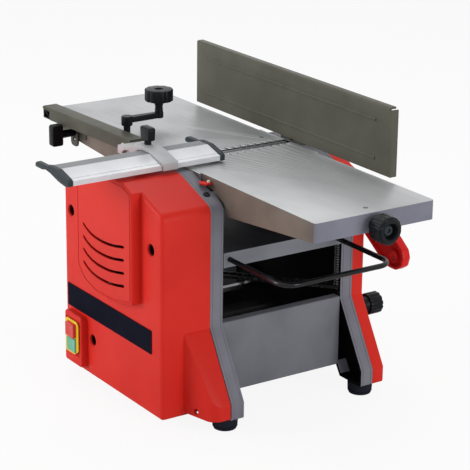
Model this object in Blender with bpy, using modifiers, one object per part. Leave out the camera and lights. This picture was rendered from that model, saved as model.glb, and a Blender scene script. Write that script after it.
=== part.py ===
"""A bench planer-thicknesser, modelled in metres with +Z up.

+X runs along the tables towards the end that surfacing work enters, +Y runs across them
to the fence, and the cutter block turns about X = 0. Everything hangs on one empty, which
the last step moves so that the middle of the machine's footprint is the world's origin.
"""

import math

import bmesh
import bpy
from mathutils import Matrix

# Tables
TABLE_WIDTH = 0.210
OUTFEED_LENGTH = 0.363
INFEED_LENGTH = 0.355
MOUTH = 0.019
TABLE_HEIGHT = 0.3672
TABLE_PLATE = 0.007
TABLE_WALL = 0.005
OUTFEED_END_DEPTH = 0.0352
INFEED_END_DEPTH = 0.0286
SKIRT_DEPTH = 0.0490
HEAD_DEPTH = 0.0182
NOTCH_PITCH = 0.0135
NOTCH_WIDTH = 0.005
NOTCH_DEPTH = 0.010
NOTCH_COUNT = 15

# Cutter block
CUTTER_RADIUS = 0.022
BLOCK_RADIUS = 0.0205
PLANING_WIDTH = 0.204
JOURNAL_RADIUS = 0.0075
KNIFE_THICKNESS = 0.003
KNIFE_DEPTH = 0.012
BEARING_RADIUS = 0.016
BEARING_WIDTH = 0.009

# Base
CLEAR_WIDTH = 0.218
FRAME_DEPTH = 0.022
FRAME_WEB = 0.004
FRAME_FLANGE = 0.005
BODY_HALF = 0.145
SHOULDER_HALF = 0.0595
SHOULDER_DROP = 0.0012
SHOULDER_FALL = 0.031
KNEE_HEIGHT = 0.1485
TOE_REACH = 0.205
TOE_HEIGHT = 0.046
SOLE_HEIGHT = 0.020
ARCH_HEIGHT = 0.038
ARCH_HALF = 0.150
PANEL_TOP = 0.1515
PANEL_SHEET = 0.0025
PANEL_RETURN = 0.015
FOOT_RADIUS = 0.0195
FOOT_REACH = 0.180

# Covers
COVER_WALL = 0.003
NEAR_COVER_DEPTH = 0.0837
FAR_COVER_DEPTH = 0.0217
COVER_BOTTOM = 0.016
PANEL_RISE = 0.015
FLARE_WIDTH = 0.041

# Motor and belt
MOTOR_HEIGHT = 0.095
MOTOR_RADIUS = 0.048
MOTOR_LENGTH = 0.185
MOTOR_WALL = 0.004
MOTOR_PULLEY_RADIUS = 0.0195
CUTTER_PULLEY_RADIUS = 0.013
BELT_WIDTH = 0.012
BELT_THICKNESS = 0.0022

# Feed train
ROLLER_RADIUS = 0.012
ROLLER_JOURNAL = 0.005
ROLLER_REACH = 0.040
ROLLER_DROP = 0.0010
FEED_GEAR_TEETH = 40
FEED_PINION_TEETH = 8
FEED_MODULE = 0.00225
FEED_SPROCKET = 0.008
ROLLER_SPROCKET = 0.020
CHAIN_THICKNESS = 0.0020
PAWL_REACH = 0.078
PAWL_HEIGHT = 0.338
PAWL_LENGTH = 0.018

# Thicknessing table and its lift
BED_LENGTH = 0.270
BED_WIDTH = 0.216
BED_HEIGHT = 0.2607
BED_DEPTH = 0.023
BED_PLATE = 0.006
SCREW_RADIUS = 0.006
SCREW_REACH = 0.128
SCREW_SIDE = 0.1165
SCREW_FOOT = 0.150
SCREW_TOP = 0.3325
LUG_RADIUS = 0.0088
LIFT_GEAR_TEETH = 16
LIFT_GEAR_BOTTOM = 0.3245
LIFT_GEAR_WIDTH = 0.006
LIFT_SPROCKET = 0.0072
CRANK_SIDE = 0.097
CRANK_SHAFT = 0.0055
CRANK_ARM = 0.059
CRANK_ARM_HEIGHT = 0.395
WIRE_RADIUS = 0.004
WIRE_REACH = 0.1455
WIRE_SIDE = 0.097

# Guard
ARM_LENGTH = 0.281
ARM_END = 0.0805
ARM_OUTSIDE = 0.135
ARM_INSIDE = 0.107
ARM_WALL = 0.0025
ARM_SLOPE = math.radians(1.5)
GUARD_NEAR = 0.314
GUARD_FAR = 0.045
CAP_WIDTH = 0.008
CLAMP_NEAR = 0.156
CLAMP_FAR = 0.130

# Fence
FENCE_FACE = 0.108
FENCE_SHEET = 0.003
FENCE_HEIGHT = 0.105
FENCE_LIFT = 0.0045
FENCE_REAR = 0.2675
FENCE_FRONT = 0.2575
FENCE_FLANGE = 0.012
FENCE_PIVOT_SET = 0.008
FENCE_PIVOT_RISE = 0.0188
FENCE_STUD_REACH = 0.030
FENCE_STUD_ANGLE = 22.0
FENCE_TILT = 45.0

# Clearances
SWITCH_RISE = 0.011
SWITCH_SIDE = -0.104
SWITCH_HEIGHT = 0.072
KNOB_RADIUS = 0.0205
KNOB_SIDE = -0.002
KNOB_HEIGHT = 0.3485
FEED_KNOB = (0.130, 0.121)
STICK_PEGS = [(0.130, 0.283), (0.075, 0.318)]
PIVOT = (-0.3445, 0.350)
LOCK = (-0.2975, 0.342)
ARM_SWING = 15.0
POINTER_HEIGHT = 0.3574

SEAT = 0.0003
RUNNING = 0.0003
OVERCUT = 0.001

CUTTER_HEIGHT = TABLE_HEIGHT - CUTTER_RADIUS
OUTFEED_END = MOUTH / 2 + OUTFEED_LENGTH
INFEED_END = MOUTH / 2 + INFEED_LENGTH
HALF_TABLE = TABLE_WIDTH / 2
FRAME_IN = CLEAR_WIDTH / 2
FRAME_OUT = FRAME_IN + FRAME_DEPTH
WEB_IN = FRAME_OUT - FRAME_WEB
SHOULDER_TOP = TABLE_HEIGHT - SHOULDER_DROP
NEAR_FACE = FRAME_OUT + SEAT + NEAR_COVER_DEPTH
PANEL_FACE = NEAR_FACE + PANEL_RISE
SWITCH_FACE = NEAR_FACE + SWITCH_RISE
FAR_FACE = FRAME_OUT + SEAT + FAR_COVER_DEPTH
ROLLER_HEIGHT = CUTTER_HEIGHT - CUTTER_RADIUS - ROLLER_DROP + ROLLER_RADIUS
LIFT_CENTRES = math.hypot(0.0234, SCREW_SIDE - CRANK_SIDE)
LIFT_MODULE = LIFT_CENTRES / LIFT_GEAR_TEETH
CRANK_REACH = SCREW_REACH + 0.0234
BED_FRONT = BODY_HALF
BED_REAR = BODY_HALF - BED_LENGTH

ROUND = 24
SMALL_ROUND = 12
PLANES = {"XY": (0, 0, 0), "XZ": (math.pi / 2, 0, 0), "YZ": (math.pi / 2, 0, math.pi / 2)}
AXES = {"Z": (0, 0, 0), "Y": (-math.pi / 2, 0, 0), "X": (0, math.pi / 2, 0)}


def clear_scene():
    for item in list(bpy.data.objects):
        bpy.data.objects.remove(item)


def make_collection(name):
    group = bpy.data.collections.new(name)
    bpy.context.scene.collection.children.link(group)
    return group


def make_material(name, colour, roughness, metallic=0.0):
    made = bpy.data.materials.new(name)
    made.use_nodes = True
    shader = made.node_tree.nodes["Principled BSDF"]
    shader.inputs["Base Color"].default_value = (*colour, 1.0)
    shader.inputs["Roughness"].default_value = roughness
    shader.inputs["Metallic"].default_value = metallic
    return made


clear_scene()
PARTS = make_collection("planer_thicknesser")
CUTTERS = make_collection("cutters")
ROOT = bpy.data.objects.new("planer_thicknesser", None)
PARTS.objects.link(ROOT)

GREY_PAINT = make_material("grey_paint", (0.19, 0.20, 0.23), 0.5)
RED_PLASTIC = make_material("red_plastic", (0.72, 0.05, 0.03), 0.42)
TABLE_METAL = make_material("table_metal", (0.55, 0.56, 0.58), 0.35, 0.8)
OLIVE_PAINT = make_material("olive_paint", (0.10, 0.10, 0.08), 0.5, 0.2)
STEEL = make_material("steel", (0.5, 0.5, 0.5), 0.3, 1.0)
BLACK_PLASTIC = make_material("black_plastic", (0.01, 0.01, 0.012), 0.35)
BLACK_PAINT = make_material("black_paint", (0.008, 0.008, 0.01), 0.3)
RUBBER = make_material("rubber", (0.012, 0.013, 0.02), 0.8)
BRIGHT_ALUMINIUM = make_material("bright_aluminium", (0.8, 0.8, 0.82), 0.3, 0.9)
SLATE_PLASTIC = make_material("slate_plastic", (0.04, 0.05, 0.06), 0.45)
YELLOW_PLASTIC = make_material("yellow_plastic", (0.85, 0.65, 0.03), 0.4)
GREEN_PLASTIC = make_material("green_plastic", (0.02, 0.35, 0.2), 0.4)
COPPER = make_material("copper_winding", (0.5, 0.22, 0.1), 0.4, 0.9)


# Outlines

def circle(centre, radius, steps=SMALL_ROUND):
    turns = [2 * math.pi * step / steps for step in range(steps)]
    return [(centre[0] + radius * math.cos(t), centre[1] + radius * math.sin(t)) for t in turns]


def rectangle(low, high):
    return [low, (high[0], low[1]), high, (low[0], high[1])]


def inset(points, distance):
    """The anticlockwise outline with each side moved inwards by distance."""
    moved = []
    for before, here, after in zip(points[-1:] + points[:-1], points, points[1:] + points[:1]):
        first = (here[0] - before[0], here[1] - before[1])
        second = (after[0] - here[0], after[1] - here[1])
        length_1 = math.hypot(*first)
        length_2 = math.hypot(*second)
        normal_1 = (-first[1] / length_1, first[0] / length_1)
        normal_2 = (-second[1] / length_2, second[0] / length_2)
        share = distance / (1 + normal_1[0] * normal_2[0] + normal_1[1] * normal_2[1])
        moved.append((here[0] + share * (normal_1[0] + normal_2[0]),
                      here[1] + share * (normal_1[1] + normal_2[1])))
    return moved


def rounded(points, radii, steps=3):
    """The outline with its corners replaced by arcs; a radius of 0 keeps the corner."""
    result = []
    count = len(points)
    for index, (corner, radius) in enumerate(zip(points, radii)):
        if radius <= 0:
            result.append(corner)
            continue
        arms = []
        for other in (points[index - 1], points[(index + 1) % count]):
            length = math.hypot(other[0] - corner[0], other[1] - corner[1])
            arms.append(((other[0] - corner[0]) / length, (other[1] - corner[1]) / length))
        cosine = arms[0][0] * arms[1][0] + arms[0][1] * arms[1][1]
        half = math.acos(max(-1.0, min(1.0, cosine))) / 2
        bisector = (arms[0][0] + arms[1][0], arms[0][1] + arms[1][1])
        size = math.hypot(*bisector)
        reach = radius / math.sin(half)
        centre = (corner[0] + bisector[0] / size * reach, corner[1] + bisector[1] / size * reach)
        foot = radius / math.tan(half)
        starts = [(corner[0] + arm[0] * foot, corner[1] + arm[1] * foot) for arm in arms]
        first = math.atan2(starts[0][1] - centre[1], starts[0][0] - centre[0])
        last = math.atan2(starts[1][1] - centre[1], starts[1][0] - centre[0])
        sweep = (last - first + math.pi) % (2 * math.pi) - math.pi
        for step in range(steps + 1):
            turn = first + sweep * step / steps
            result.append((centre[0] + radius * math.cos(turn), centre[1] + radius * math.sin(turn)))
    return result


def gear_outline(teeth, module, centre, phase=0.0):
    """Straight-flanked teeth, narrow enough to run with backlash."""
    points = []
    pitch_radius = teeth * module / 2
    root = pitch_radius - 1.1 * module
    tip = pitch_radius + 0.75 * module
    pitch_angle = 2 * math.pi / teeth
    for tooth in range(teeth):
        middle = phase + tooth * pitch_angle
        for radius, share in ((root, -0.30), (tip, -0.11), (tip, 0.11), (root, 0.30)):
            turn = middle + share * pitch_angle
            points.append((centre[0] + radius * math.cos(turn), centre[1] + radius * math.sin(turn)))
    return points


def loop_round(circles, steps=14):
    """A belt's path: the tight loop round circles (x, y, radius) given anticlockwise."""
    points = []
    count = len(circles)
    for index in range(count):
        x, y, radius = circles[index]
        ends = []
        for first, second in ((circles[index - 1], circles[index]), (circles[index], circles[(index + 1) % count])):
            run = math.atan2(second[1] - first[1], second[0] - first[0])
            span = math.hypot(second[0] - first[0], second[1] - first[1])
            ends.append(run - math.acos((first[2] - second[2]) / span))
        sweep = (ends[1] - ends[0]) % (2 * math.pi)
        for step in range(steps + 1):
            turn = ends[0] + sweep * step / steps
            points.append((x + radius * math.cos(turn), y + radius * math.sin(turn)))
    return points


# Solids

def link(item, group=None):
    (group or PARTS).objects.link(item)
    return item


def box(low, high):
    middle = [(a + b) / 2 for a, b in zip(low, high)]
    made = bmesh.new()
    bmesh.ops.create_cube(made, size=1.0)
    bmesh.ops.scale(made, vec=[b - a for a, b in zip(low, high)], verts=made.verts)
    mesh = bpy.data.meshes.new("box")
    made.to_mesh(mesh)
    made.free()
    item = link(bpy.data.objects.new("box", mesh))
    item.location = middle
    return item


def plate(outline, start, end, plane="XZ", holes=()):
    """A flat outline given a thickness. On XZ its coordinates are X and Z and it runs from
    Y = start to Y = end, on YZ from X, and on XY from Z."""
    curve = bpy.data.curves.new("outline", "CURVE")
    curve.dimensions = "2D"
    curve.fill_mode = "BOTH"
    curve.extrude = abs(end - start) / 2
    for ring in (outline, *holes):
        spline = curve.splines.new("POLY")
        spline.points.add(len(ring) - 1)
        for point, (across, up) in zip(spline.points, ring):
            point.co = (across, up, 0, 1)
        spline.use_cyclic_u = True
    guide = link(bpy.data.objects.new("outline", curve))
    mesh = bpy.data.meshes.new_from_object(guide.evaluated_get(bpy.context.evaluated_depsgraph_get()))
    bpy.data.objects.remove(guide)
    made = bmesh.new()
    made.from_mesh(mesh)
    bmesh.ops.remove_doubles(made, verts=made.verts, dist=1e-6)
    bmesh.ops.recalc_face_normals(made, faces=made.faces)
    made.to_mesh(mesh)
    made.free()
    item = link(bpy.data.objects.new("plate", mesh))
    middle = (start + end) / 2
    item.location = {"XY": (0, 0, middle), "XZ": (0, middle, 0), "YZ": (middle, 0, 0)}[plane]
    item.rotation_euler = PLANES[plane]
    return item


def turned(profile, axis, place, steps=ROUND):
    """A profile of (radius, height) from the top down its outer side, spun about an axis.
    A profile that starts or ends away from the axis is a ring and is closed."""
    mesh = bpy.data.meshes.new("profile")
    edges = [(index, index + 1) for index in range(len(profile) - 1)]
    if profile[0][0] > 0:
        edges.append((len(profile) - 1, 0))
    mesh.from_pydata([(radius, 0, height) for radius, height in profile], edges, [])
    item = link(bpy.data.objects.new("turned", mesh))
    item.location = place
    item.rotation_euler = AXES[axis]
    screw = item.modifiers.new("Screw", "SCREW")
    screw.steps = steps
    screw.render_steps = steps
    screw.use_merge_vertices = True
    screw.merge_threshold = 0.00001
    screw.use_smooth_shade = True
    return item


def rod(radius, axis, place, start, end, steps=ROUND):
    return turned([(0, end), (radius, end), (radius, start), (0, start)], axis, place, steps)


def ring(outer, inner, axis, place, start, end, steps=ROUND):
    return turned([(outer, end), (outer, start), (inner, start), (inner, end)], axis, place, steps)


def combine(item, operation, others):
    for other in others:
        change = item.modifiers.new(operation.title(), "BOOLEAN")
        change.operation = operation
        change.solver = "MANIFOLD"
        change.object = other
        PARTS.objects.unlink(other)
        CUTTERS.objects.link(other)
        other.parent = ROOT
        other.hide_render = True
        other.display_type = "WIRE"
    return item


def cut(item, *others):
    return combine(item, "DIFFERENCE", others)


def fuse(item, *others):
    return combine(item, "UNION", others)


def overlap(item, *others):
    return combine(item, "INTERSECT", others)


def bake(item):
    """The item with its modifiers worked into its mesh, ready to be a cutter."""
    bpy.context.view_layer.update()
    mesh = bpy.data.meshes.new_from_object(item.evaluated_get(bpy.context.evaluated_depsgraph_get()))
    item.modifiers.clear()
    item.data = mesh
    return item


def lean(item, place, angle):
    """Turns an item about the Y axis through a place."""
    bpy.context.view_layer.update()
    here = Matrix.Translation(place)
    item.matrix_world = here @ Matrix.Rotation(angle, 4, "Y") @ here.inverted() @ item.matrix_world
    return item


def joint(name, place, turn=(0, 0, 0)):
    """An empty on a joint's axis, for the pieces that move with it."""
    empty = link(bpy.data.objects.new(name + "_joint", None))
    empty.parent = ROOT
    empty.location = place
    empty.rotation_euler = turn
    return empty


def piece(name, item, material, body=None):
    """Names a finished piece, gives it its material and hangs it on its body."""
    item.name = name
    item.data.name = name
    item.data.materials.clear()
    item.data.materials.append(material)
    carrier = body or ROOT
    item.parent = carrier
    if body:
        bpy.context.view_layer.update()
        item.matrix_parent_inverse = body.matrix_basis.inverted()
    return item


# Base

def side_outline(distance=0.0, legs=True):
    """The base from the side, anticlockwise, moved inwards by distance."""
    right = [(ARCH_HALF - 0.012, ARCH_HEIGHT), (ARCH_HALF, SOLE_HEIGHT), (TOE_REACH, SOLE_HEIGHT),
             (TOE_REACH, TOE_HEIGHT), (BODY_HALF, KNEE_HEIGHT)]
    radii = [0.004, 0, 0.003, 0.003, 0.004]
    if not legs:
        right = [(BODY_HALF, COVER_BOTTOM)]
        radii = [0.006]
    right += [(BODY_HALF, SHOULDER_TOP - SHOULDER_FALL), (SHOULDER_HALF, SHOULDER_TOP)]
    radii += [0.014, 0.025]
    left = [(-across, up) for across, up in reversed(right)]
    radii += list(reversed(radii))
    points = inset(right + left, distance) if distance else right + left
    return rounded(points, [max(0.0, radius - distance) for radius in radii])


def side_frame(name, side):
    """A cast side wall: a web with a flange all round it, open towards the work."""
    def between(first, last):
        return side * first, side * last

    frame = plate(side_outline(), *between(FRAME_IN, FRAME_OUT))
    pocket = plate(side_outline(FRAME_FLANGE), *between(FRAME_IN - OVERCUT, WEB_IN))
    cut(frame, pocket)
    bearing_seat = FRAME_OUT - FRAME_WEB - BEARING_WIDTH
    centre = (0, 0, CUTTER_HEIGHT)
    bosses = [rod(BEARING_RADIUS + 0.0042, "Y", centre, *sorted(between(bearing_seat, FRAME_OUT - OVERCUT)))]
    for reach in (-ROLLER_REACH, ROLLER_REACH):
        span = sorted(between(FRAME_IN + 0.003, FRAME_OUT - OVERCUT))
        bosses.append(rod(ROLLER_JOURNAL * 2, "Y", (reach, 0, ROLLER_HEIGHT), *span, SMALL_ROUND))
    bosses.append(rod(0.008, "Y", (-PAWL_REACH, 0, PAWL_HEIGHT),
                      *sorted(between(FRAME_IN + 0.005, FRAME_OUT - OVERCUT)), SMALL_ROUND))
    for reach in (-SCREW_REACH, SCREW_REACH):
        low, high = sorted(between(FRAME_IN, FRAME_OUT - OVERCUT))
        bosses.append(box((reach - 0.011, low, SCREW_FOOT - 0.004), (reach + 0.011, high, SCREW_FOOT + 0.008)))
    fuse(frame, *bosses)
    through = sorted(between(FRAME_IN - OVERCUT, FRAME_OUT + OVERCUT))
    holes = [rod(BEARING_RADIUS + SEAT, "Y", centre, *sorted(between(FRAME_IN, WEB_IN + SEAT))),
             rod(JOURNAL_RADIUS + 0.003, "Y", centre, *through)]
    for reach in (-ROLLER_REACH, ROLLER_REACH):
        holes.append(rod(ROLLER_JOURNAL + RUNNING, "Y", (reach, 0, ROLLER_HEIGHT), *through, SMALL_ROUND))
    holes.append(rod(0.0035 + SEAT, "Y", (-PAWL_REACH, 0, PAWL_HEIGHT), *through, SMALL_ROUND))
    for reach in (-SCREW_REACH, SCREW_REACH):
        holes.append(rod(SCREW_RADIUS + RUNNING, "Z", (reach, side * SCREW_SIDE, 0),
                         SCREW_FOOT - SEAT, SCREW_FOOT + 0.02))
    cut(frame, *holes)
    return frame


def base():
    near = side_frame("near_side_frame", -1)
    gear_low = LIFT_GEAR_BOTTOM - 0.003
    gear_high = LIFT_GEAR_BOTTOM + LIFT_GEAR_WIDTH + 0.003
    cut(near, box((-BODY_HALF - OVERCUT, -FRAME_OUT - OVERCUT, gear_low),
                  (-SCREW_REACH + 0.017, -FRAME_IN + OVERCUT, gear_high)),
        rod(0.010, "Y", (0, 0, MOTOR_HEIGHT), -FRAME_OUT - OVERCUT, -WEB_IN + OVERCUT))
    piece("near_side_frame", near, GREY_PAINT)
    far = side_frame("far_side_frame", 1)
    fuse(far, rod(0.006, "Y", (0, 0, feed_gear_height()), WEB_IN + OVERCUT, FAR_FACE - COVER_WALL - 0.001,
                  SMALL_ROUND))
    piece("far_side_frame", far, GREY_PAINT)
    for name, face in (("front_panel", 1), ("rear_panel", -1)):
        outer = face * BODY_HALF
        inner = face * (BODY_HALF - PANEL_RETURN)
        skin = face * (BODY_HALF - PANEL_SHEET)
        outline = [(outer, ARCH_HEIGHT), (outer, PANEL_TOP), (inner, PANEL_TOP), (inner, PANEL_TOP - PANEL_SHEET),
                   (skin, PANEL_TOP - PANEL_SHEET), (skin, ARCH_HEIGHT + PANEL_SHEET),
                   (inner, ARCH_HEIGHT + PANEL_SHEET), (inner, ARCH_HEIGHT)]
        width = FRAME_IN - SEAT
        piece(name, plate(outline, -width, width), GREY_PAINT)
    for side_name, side in (("near", -1), ("far", 1)):
        for end_name, end in (("front", 1), ("rear", -1)):
            profile = [(0, SOLE_HEIGHT - SEAT), (FOOT_RADIUS, SOLE_HEIGHT - SEAT), (FOOT_RADIUS, 0.003),
                       (FOOT_RADIUS - 0.0025, 0), (0, 0)]
            place = (end * FOOT_REACH, side * 0.1262, 0)
            piece(f"{side_name}_{end_name}_foot", turned(profile, "Z", place, 24), RUBBER)


# Covers

def flare(side, end, distance=0.0):
    """The foot of the near cover that spreads over a leg."""
    inner_x = BODY_HALF - 0.010
    profile = [(inner_x, 0.022), (TOE_REACH, 0.022), (TOE_REACH, TOE_HEIGHT), (BODY_HALF, KNEE_HEIGHT),
               (inner_x, KNEE_HEIGHT)]
    root_y = FRAME_OUT + SEAT
    plan = [(inner_x, root_y), (TOE_REACH, root_y), (TOE_REACH, root_y + 0.020),
            (TOE_REACH - 0.012, root_y + FLARE_WIDTH - 0.006), (inner_x, root_y + FLARE_WIDTH + 0.008)]
    if distance:
        profile = inset(profile, distance)
        profile = [(across - (0.012 if index in (0, 4) else 0), up) for index, (across, up) in enumerate(profile)]
        plan = inset(plan, distance)
        plan = [(across - (0.012 if index in (0, 4) else 0), along) for index, (across, along) in enumerate(plan)]
        plan[0] = (plan[0][0], root_y - 0.005)
        plan[1] = (plan[1][0], root_y - 0.005)
    profile = [(end * across, up) for across, up in profile]
    plan = [(end * across, side * along) for across, along in plan]
    body = plate(profile, side * (root_y - 0.004), side * (root_y + 0.060))
    overlap(body, plate(plan, 0.0, 0.200, "XY"))
    return bake(body)


def raised_outline(distance=0.0):
    points = [(-0.080, 0.198), (-0.058, 0.178), (-0.020, 0.1695), (0.030, 0.172), (0.085, 0.185),
              (0.085, SHOULDER_TOP - 0.0095), (SHOULDER_HALF, SHOULDER_TOP), (-SHOULDER_HALF, SHOULDER_TOP),
              (-0.080, SHOULDER_TOP - 0.0075)]
    radii = [0.010, 0.018, 0.040, 0.060, 0.006, 0, 0.004, 0.004, 0]
    if distance:
        points = inset(points, distance)
    return rounded(points, radii)


def vent_outline(row):
    """One curved slot, a band of even height that dips in the middle."""
    stations = [(-0.058, 0.272), (-0.030, 0.2605), (0.000, 0.2585), (0.030, 0.2610), (0.058, 0.2695)]
    drop = row * 0.0205
    upper = [(across, up - drop) for across, up in stations]
    lower = [(across, up - 0.0065) for across, up in upper]
    return lower + upper[::-1]


def covers():
    inner = -(FRAME_OUT + SEAT)
    near = plate(side_outline(legs=False), inner, -NEAR_FACE)
    boss = rectangle((SWITCH_SIDE - 0.0260, SWITCH_HEIGHT - 0.0460), (SWITCH_SIDE + 0.0265, SWITCH_HEIGHT + 0.0380))
    fuse(near, plate(raised_outline(), -NEAR_FACE + OVERCUT, -PANEL_FACE), flare(-1, 1), flare(-1, -1),
         plate(rounded(boss, [0.004] * 4), -NEAR_FACE + OVERCUT, -SWITCH_FACE))
    cut(near, plate(side_outline(COVER_WALL, legs=False), inner + OVERCUT, -NEAR_FACE + COVER_WALL),
        plate(raised_outline(COVER_WALL), -NEAR_FACE + 2 * COVER_WALL, -PANEL_FACE + COVER_WALL),
        flare(-1, 1, COVER_WALL), flare(-1, -1, COVER_WALL),
        plate(inset(boss, COVER_WALL), -NEAR_FACE + 2 * COVER_WALL, -SWITCH_FACE + COVER_WALL))
    cut(near, *[plate(vent_outline(row), -PANEL_FACE - OVERCUT, -PANEL_FACE + COVER_WALL + OVERCUT)
                for row in range(4)])
    cut(near, box((SWITCH_SIDE - 0.0140, -SWITCH_FACE - OVERCUT, SWITCH_HEIGHT - 0.0260),
                  (SWITCH_SIDE + 0.0160, -SWITCH_FACE + COVER_WALL + OVERCUT, SWITCH_HEIGHT + 0.0260)))
    piece("near_cover", near, RED_PLASTIC)

    far = plate(side_outline(), -inner, FAR_FACE)
    cut(far, plate(side_outline(COVER_WALL), -inner - OVERCUT, FAR_FACE - COVER_WALL))
    fuse(far, *[rod(0.005, "Y", (peg[0], 0, peg[1]), FAR_FACE - 0.002, FAR_FACE + 0.014, SMALL_ROUND)
                for peg in STICK_PEGS])
    cut(far, rod(0.006 + RUNNING, "Y", (FEED_KNOB[0], 0, FEED_KNOB[1]),
                 FAR_FACE - 0.010, FAR_FACE + 0.010, SMALL_ROUND))
    piece("far_cover", far, RED_PLASTIC)


# Tables

def table_outline(end, end_depth, knee):
    """A table from the side: deepest where it meets the base, shallow over the rollers."""
    lip = MOUTH / 2
    head = TABLE_HEIGHT - HEAD_DEPTH
    return [(lip, TABLE_HEIGHT - 0.009), (0.024, TABLE_HEIGHT - 0.009), (0.029, head), (0.112, head),
            (knee, TABLE_HEIGHT - SKIRT_DEPTH), (end, TABLE_HEIGHT - end_depth), (end, TABLE_HEIGHT),
            (lip, TABLE_HEIGHT)]


def table(side, end, end_depth, knee, relief):
    outline = [(side * across, up) for across, up in table_outline(end, end_depth, knee)]
    body = plate(outline, -HALF_TABLE, HALF_TABLE)
    pocket_low = (0.036, -HALF_TABLE + TABLE_WALL, 0.300)
    pocket_high = (end - TABLE_WALL, HALF_TABLE - TABLE_WALL, TABLE_HEIGHT - TABLE_PLATE)
    spans = sorted((side * pocket_low[0], side * pocket_high[0]))
    cut(body, box((spans[0], pocket_low[1], pocket_low[2]), (spans[1], pocket_high[1], pocket_high[2])),
        rod(relief, "Y", (0, 0, CUTTER_HEIGHT), -HALF_TABLE - 0.01, HALF_TABLE + 0.01))
    for way in (-1, 1):
        across = sorted((side * MOUTH / 2, side * 0.079))
        along = sorted((way * (HALF_TABLE - OVERCUT), way * (FRAME_IN - SEAT)))
        pad = box((across[0], along[0], TABLE_HEIGHT - HEAD_DEPTH), (across[1], along[1], TABLE_HEIGHT))
        fuse(body, pad)
    cut(body, rod(relief, "Y", (0, 0, CUTTER_HEIGHT), -HALF_TABLE - 0.01, HALF_TABLE + 0.01))
    notch_x = sorted((side * (MOUTH / 2 - OVERCUT), side * (MOUTH / 2 + NOTCH_DEPTH)))
    first = -NOTCH_PITCH * (NOTCH_COUNT - 1) / 2
    notch = box((notch_x[0], first - NOTCH_WIDTH / 2, TABLE_HEIGHT - 0.02),
                (notch_x[1], first + NOTCH_WIDTH / 2, TABLE_HEIGHT + OVERCUT))
    comb = notch.modifiers.new("Comb", "ARRAY")
    comb.use_relative_offset = False
    comb.use_constant_offset = True
    comb.constant_offset_displace = (0, NOTCH_PITCH, 0)
    comb.count = NOTCH_COUNT
    return cut(body, notch)


def tables():
    outfeed = table(-1, OUTFEED_END, OUTFEED_END_DEPTH, 0.152, CUTTER_RADIUS + 0.0015)
    crank = (-CRANK_REACH, -CRANK_SIDE, 0)
    fuse(outfeed, rod(0.0080, "Z", crank, LIFT_GEAR_BOTTOM + LIFT_GEAR_WIDTH + 0.003,
                      TABLE_HEIGHT - OVERCUT, SMALL_ROUND))
    cut(outfeed, rod(CRANK_SHAFT + RUNNING, "Z", crank, 0.30, 0.40),
        box((-CRANK_REACH - 0.0185, -HALF_TABLE - OVERCUT, 0.300),
            (-CRANK_REACH + 0.0185, -HALF_TABLE + TABLE_WALL + OVERCUT, LIFT_GEAR_BOTTOM + LIFT_GEAR_WIDTH + 0.002)))
    piece("outfeed_table", outfeed, TABLE_METAL)

    body = joint("infeed_table", (0, 0, TABLE_HEIGHT))
    infeed = table(1, INFEED_END, INFEED_END_DEPTH, 0.152, CUTTER_RADIUS + 0.0008)
    hub = (0, KNOB_SIDE, KNOB_HEIGHT)
    fuse(infeed, rod(0.010, "X", hub, INFEED_END - 0.022, INFEED_END - OVERCUT, SMALL_ROUND))
    cut(infeed, rod(0.005 + RUNNING, "X", hub, INFEED_END - 0.03, INFEED_END + OVERCUT, SMALL_ROUND))
    piece("infeed_table", infeed, TABLE_METAL, body)
    tip = [(0.090, -0.1185), (0.100, -0.1205), (0.108, -0.1165), (0.108, -HALF_TABLE - SEAT),
           (0.098, -HALF_TABLE - SEAT)]
    piece("scale_pointer", plate(tip, POINTER_HEIGHT, POINTER_HEIGHT + 0.002, "XY"), RED_PLASTIC, body)

    knob_joint = joint("infeed_knob", (INFEED_END, KNOB_SIDE, KNOB_HEIGHT))
    bore = 0.005 + SEAT
    start = INFEED_END + SEAT
    cup = 0.0115
    profile = [(cup, 0.038), (KNOB_RADIUS - 0.0030, 0.038), (KNOB_RADIUS, 0.034), (KNOB_RADIUS, 0.0145),
               (KNOB_RADIUS - 0.0025, 0.0125), (0.0105, 0.0125), (0.0105, 0), (bore, 0), (bore, 0.027), (cup, 0.027)]
    piece("infeed_knob", turned(profile, "X", (start, KNOB_SIDE, KNOB_HEIGHT)), BLACK_PLASTIC, knob_joint)
    screw = [(0, 0.0320), (0.0080, 0.0320), (0.0080, 0.0273), (0.0050, 0.0273), (0.0050, -0.050), (0, -0.050)]
    piece("infeed_screw", turned(screw, "X", (start, KNOB_SIDE, KNOB_HEIGHT), SMALL_ROUND), STEEL, knob_joint)


# Cutter block, drive and feed

def feed_gear_height():
    return CUTTER_HEIGHT - FEED_MODULE * (FEED_GEAR_TEETH + FEED_PINION_TEETH) / 2


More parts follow.
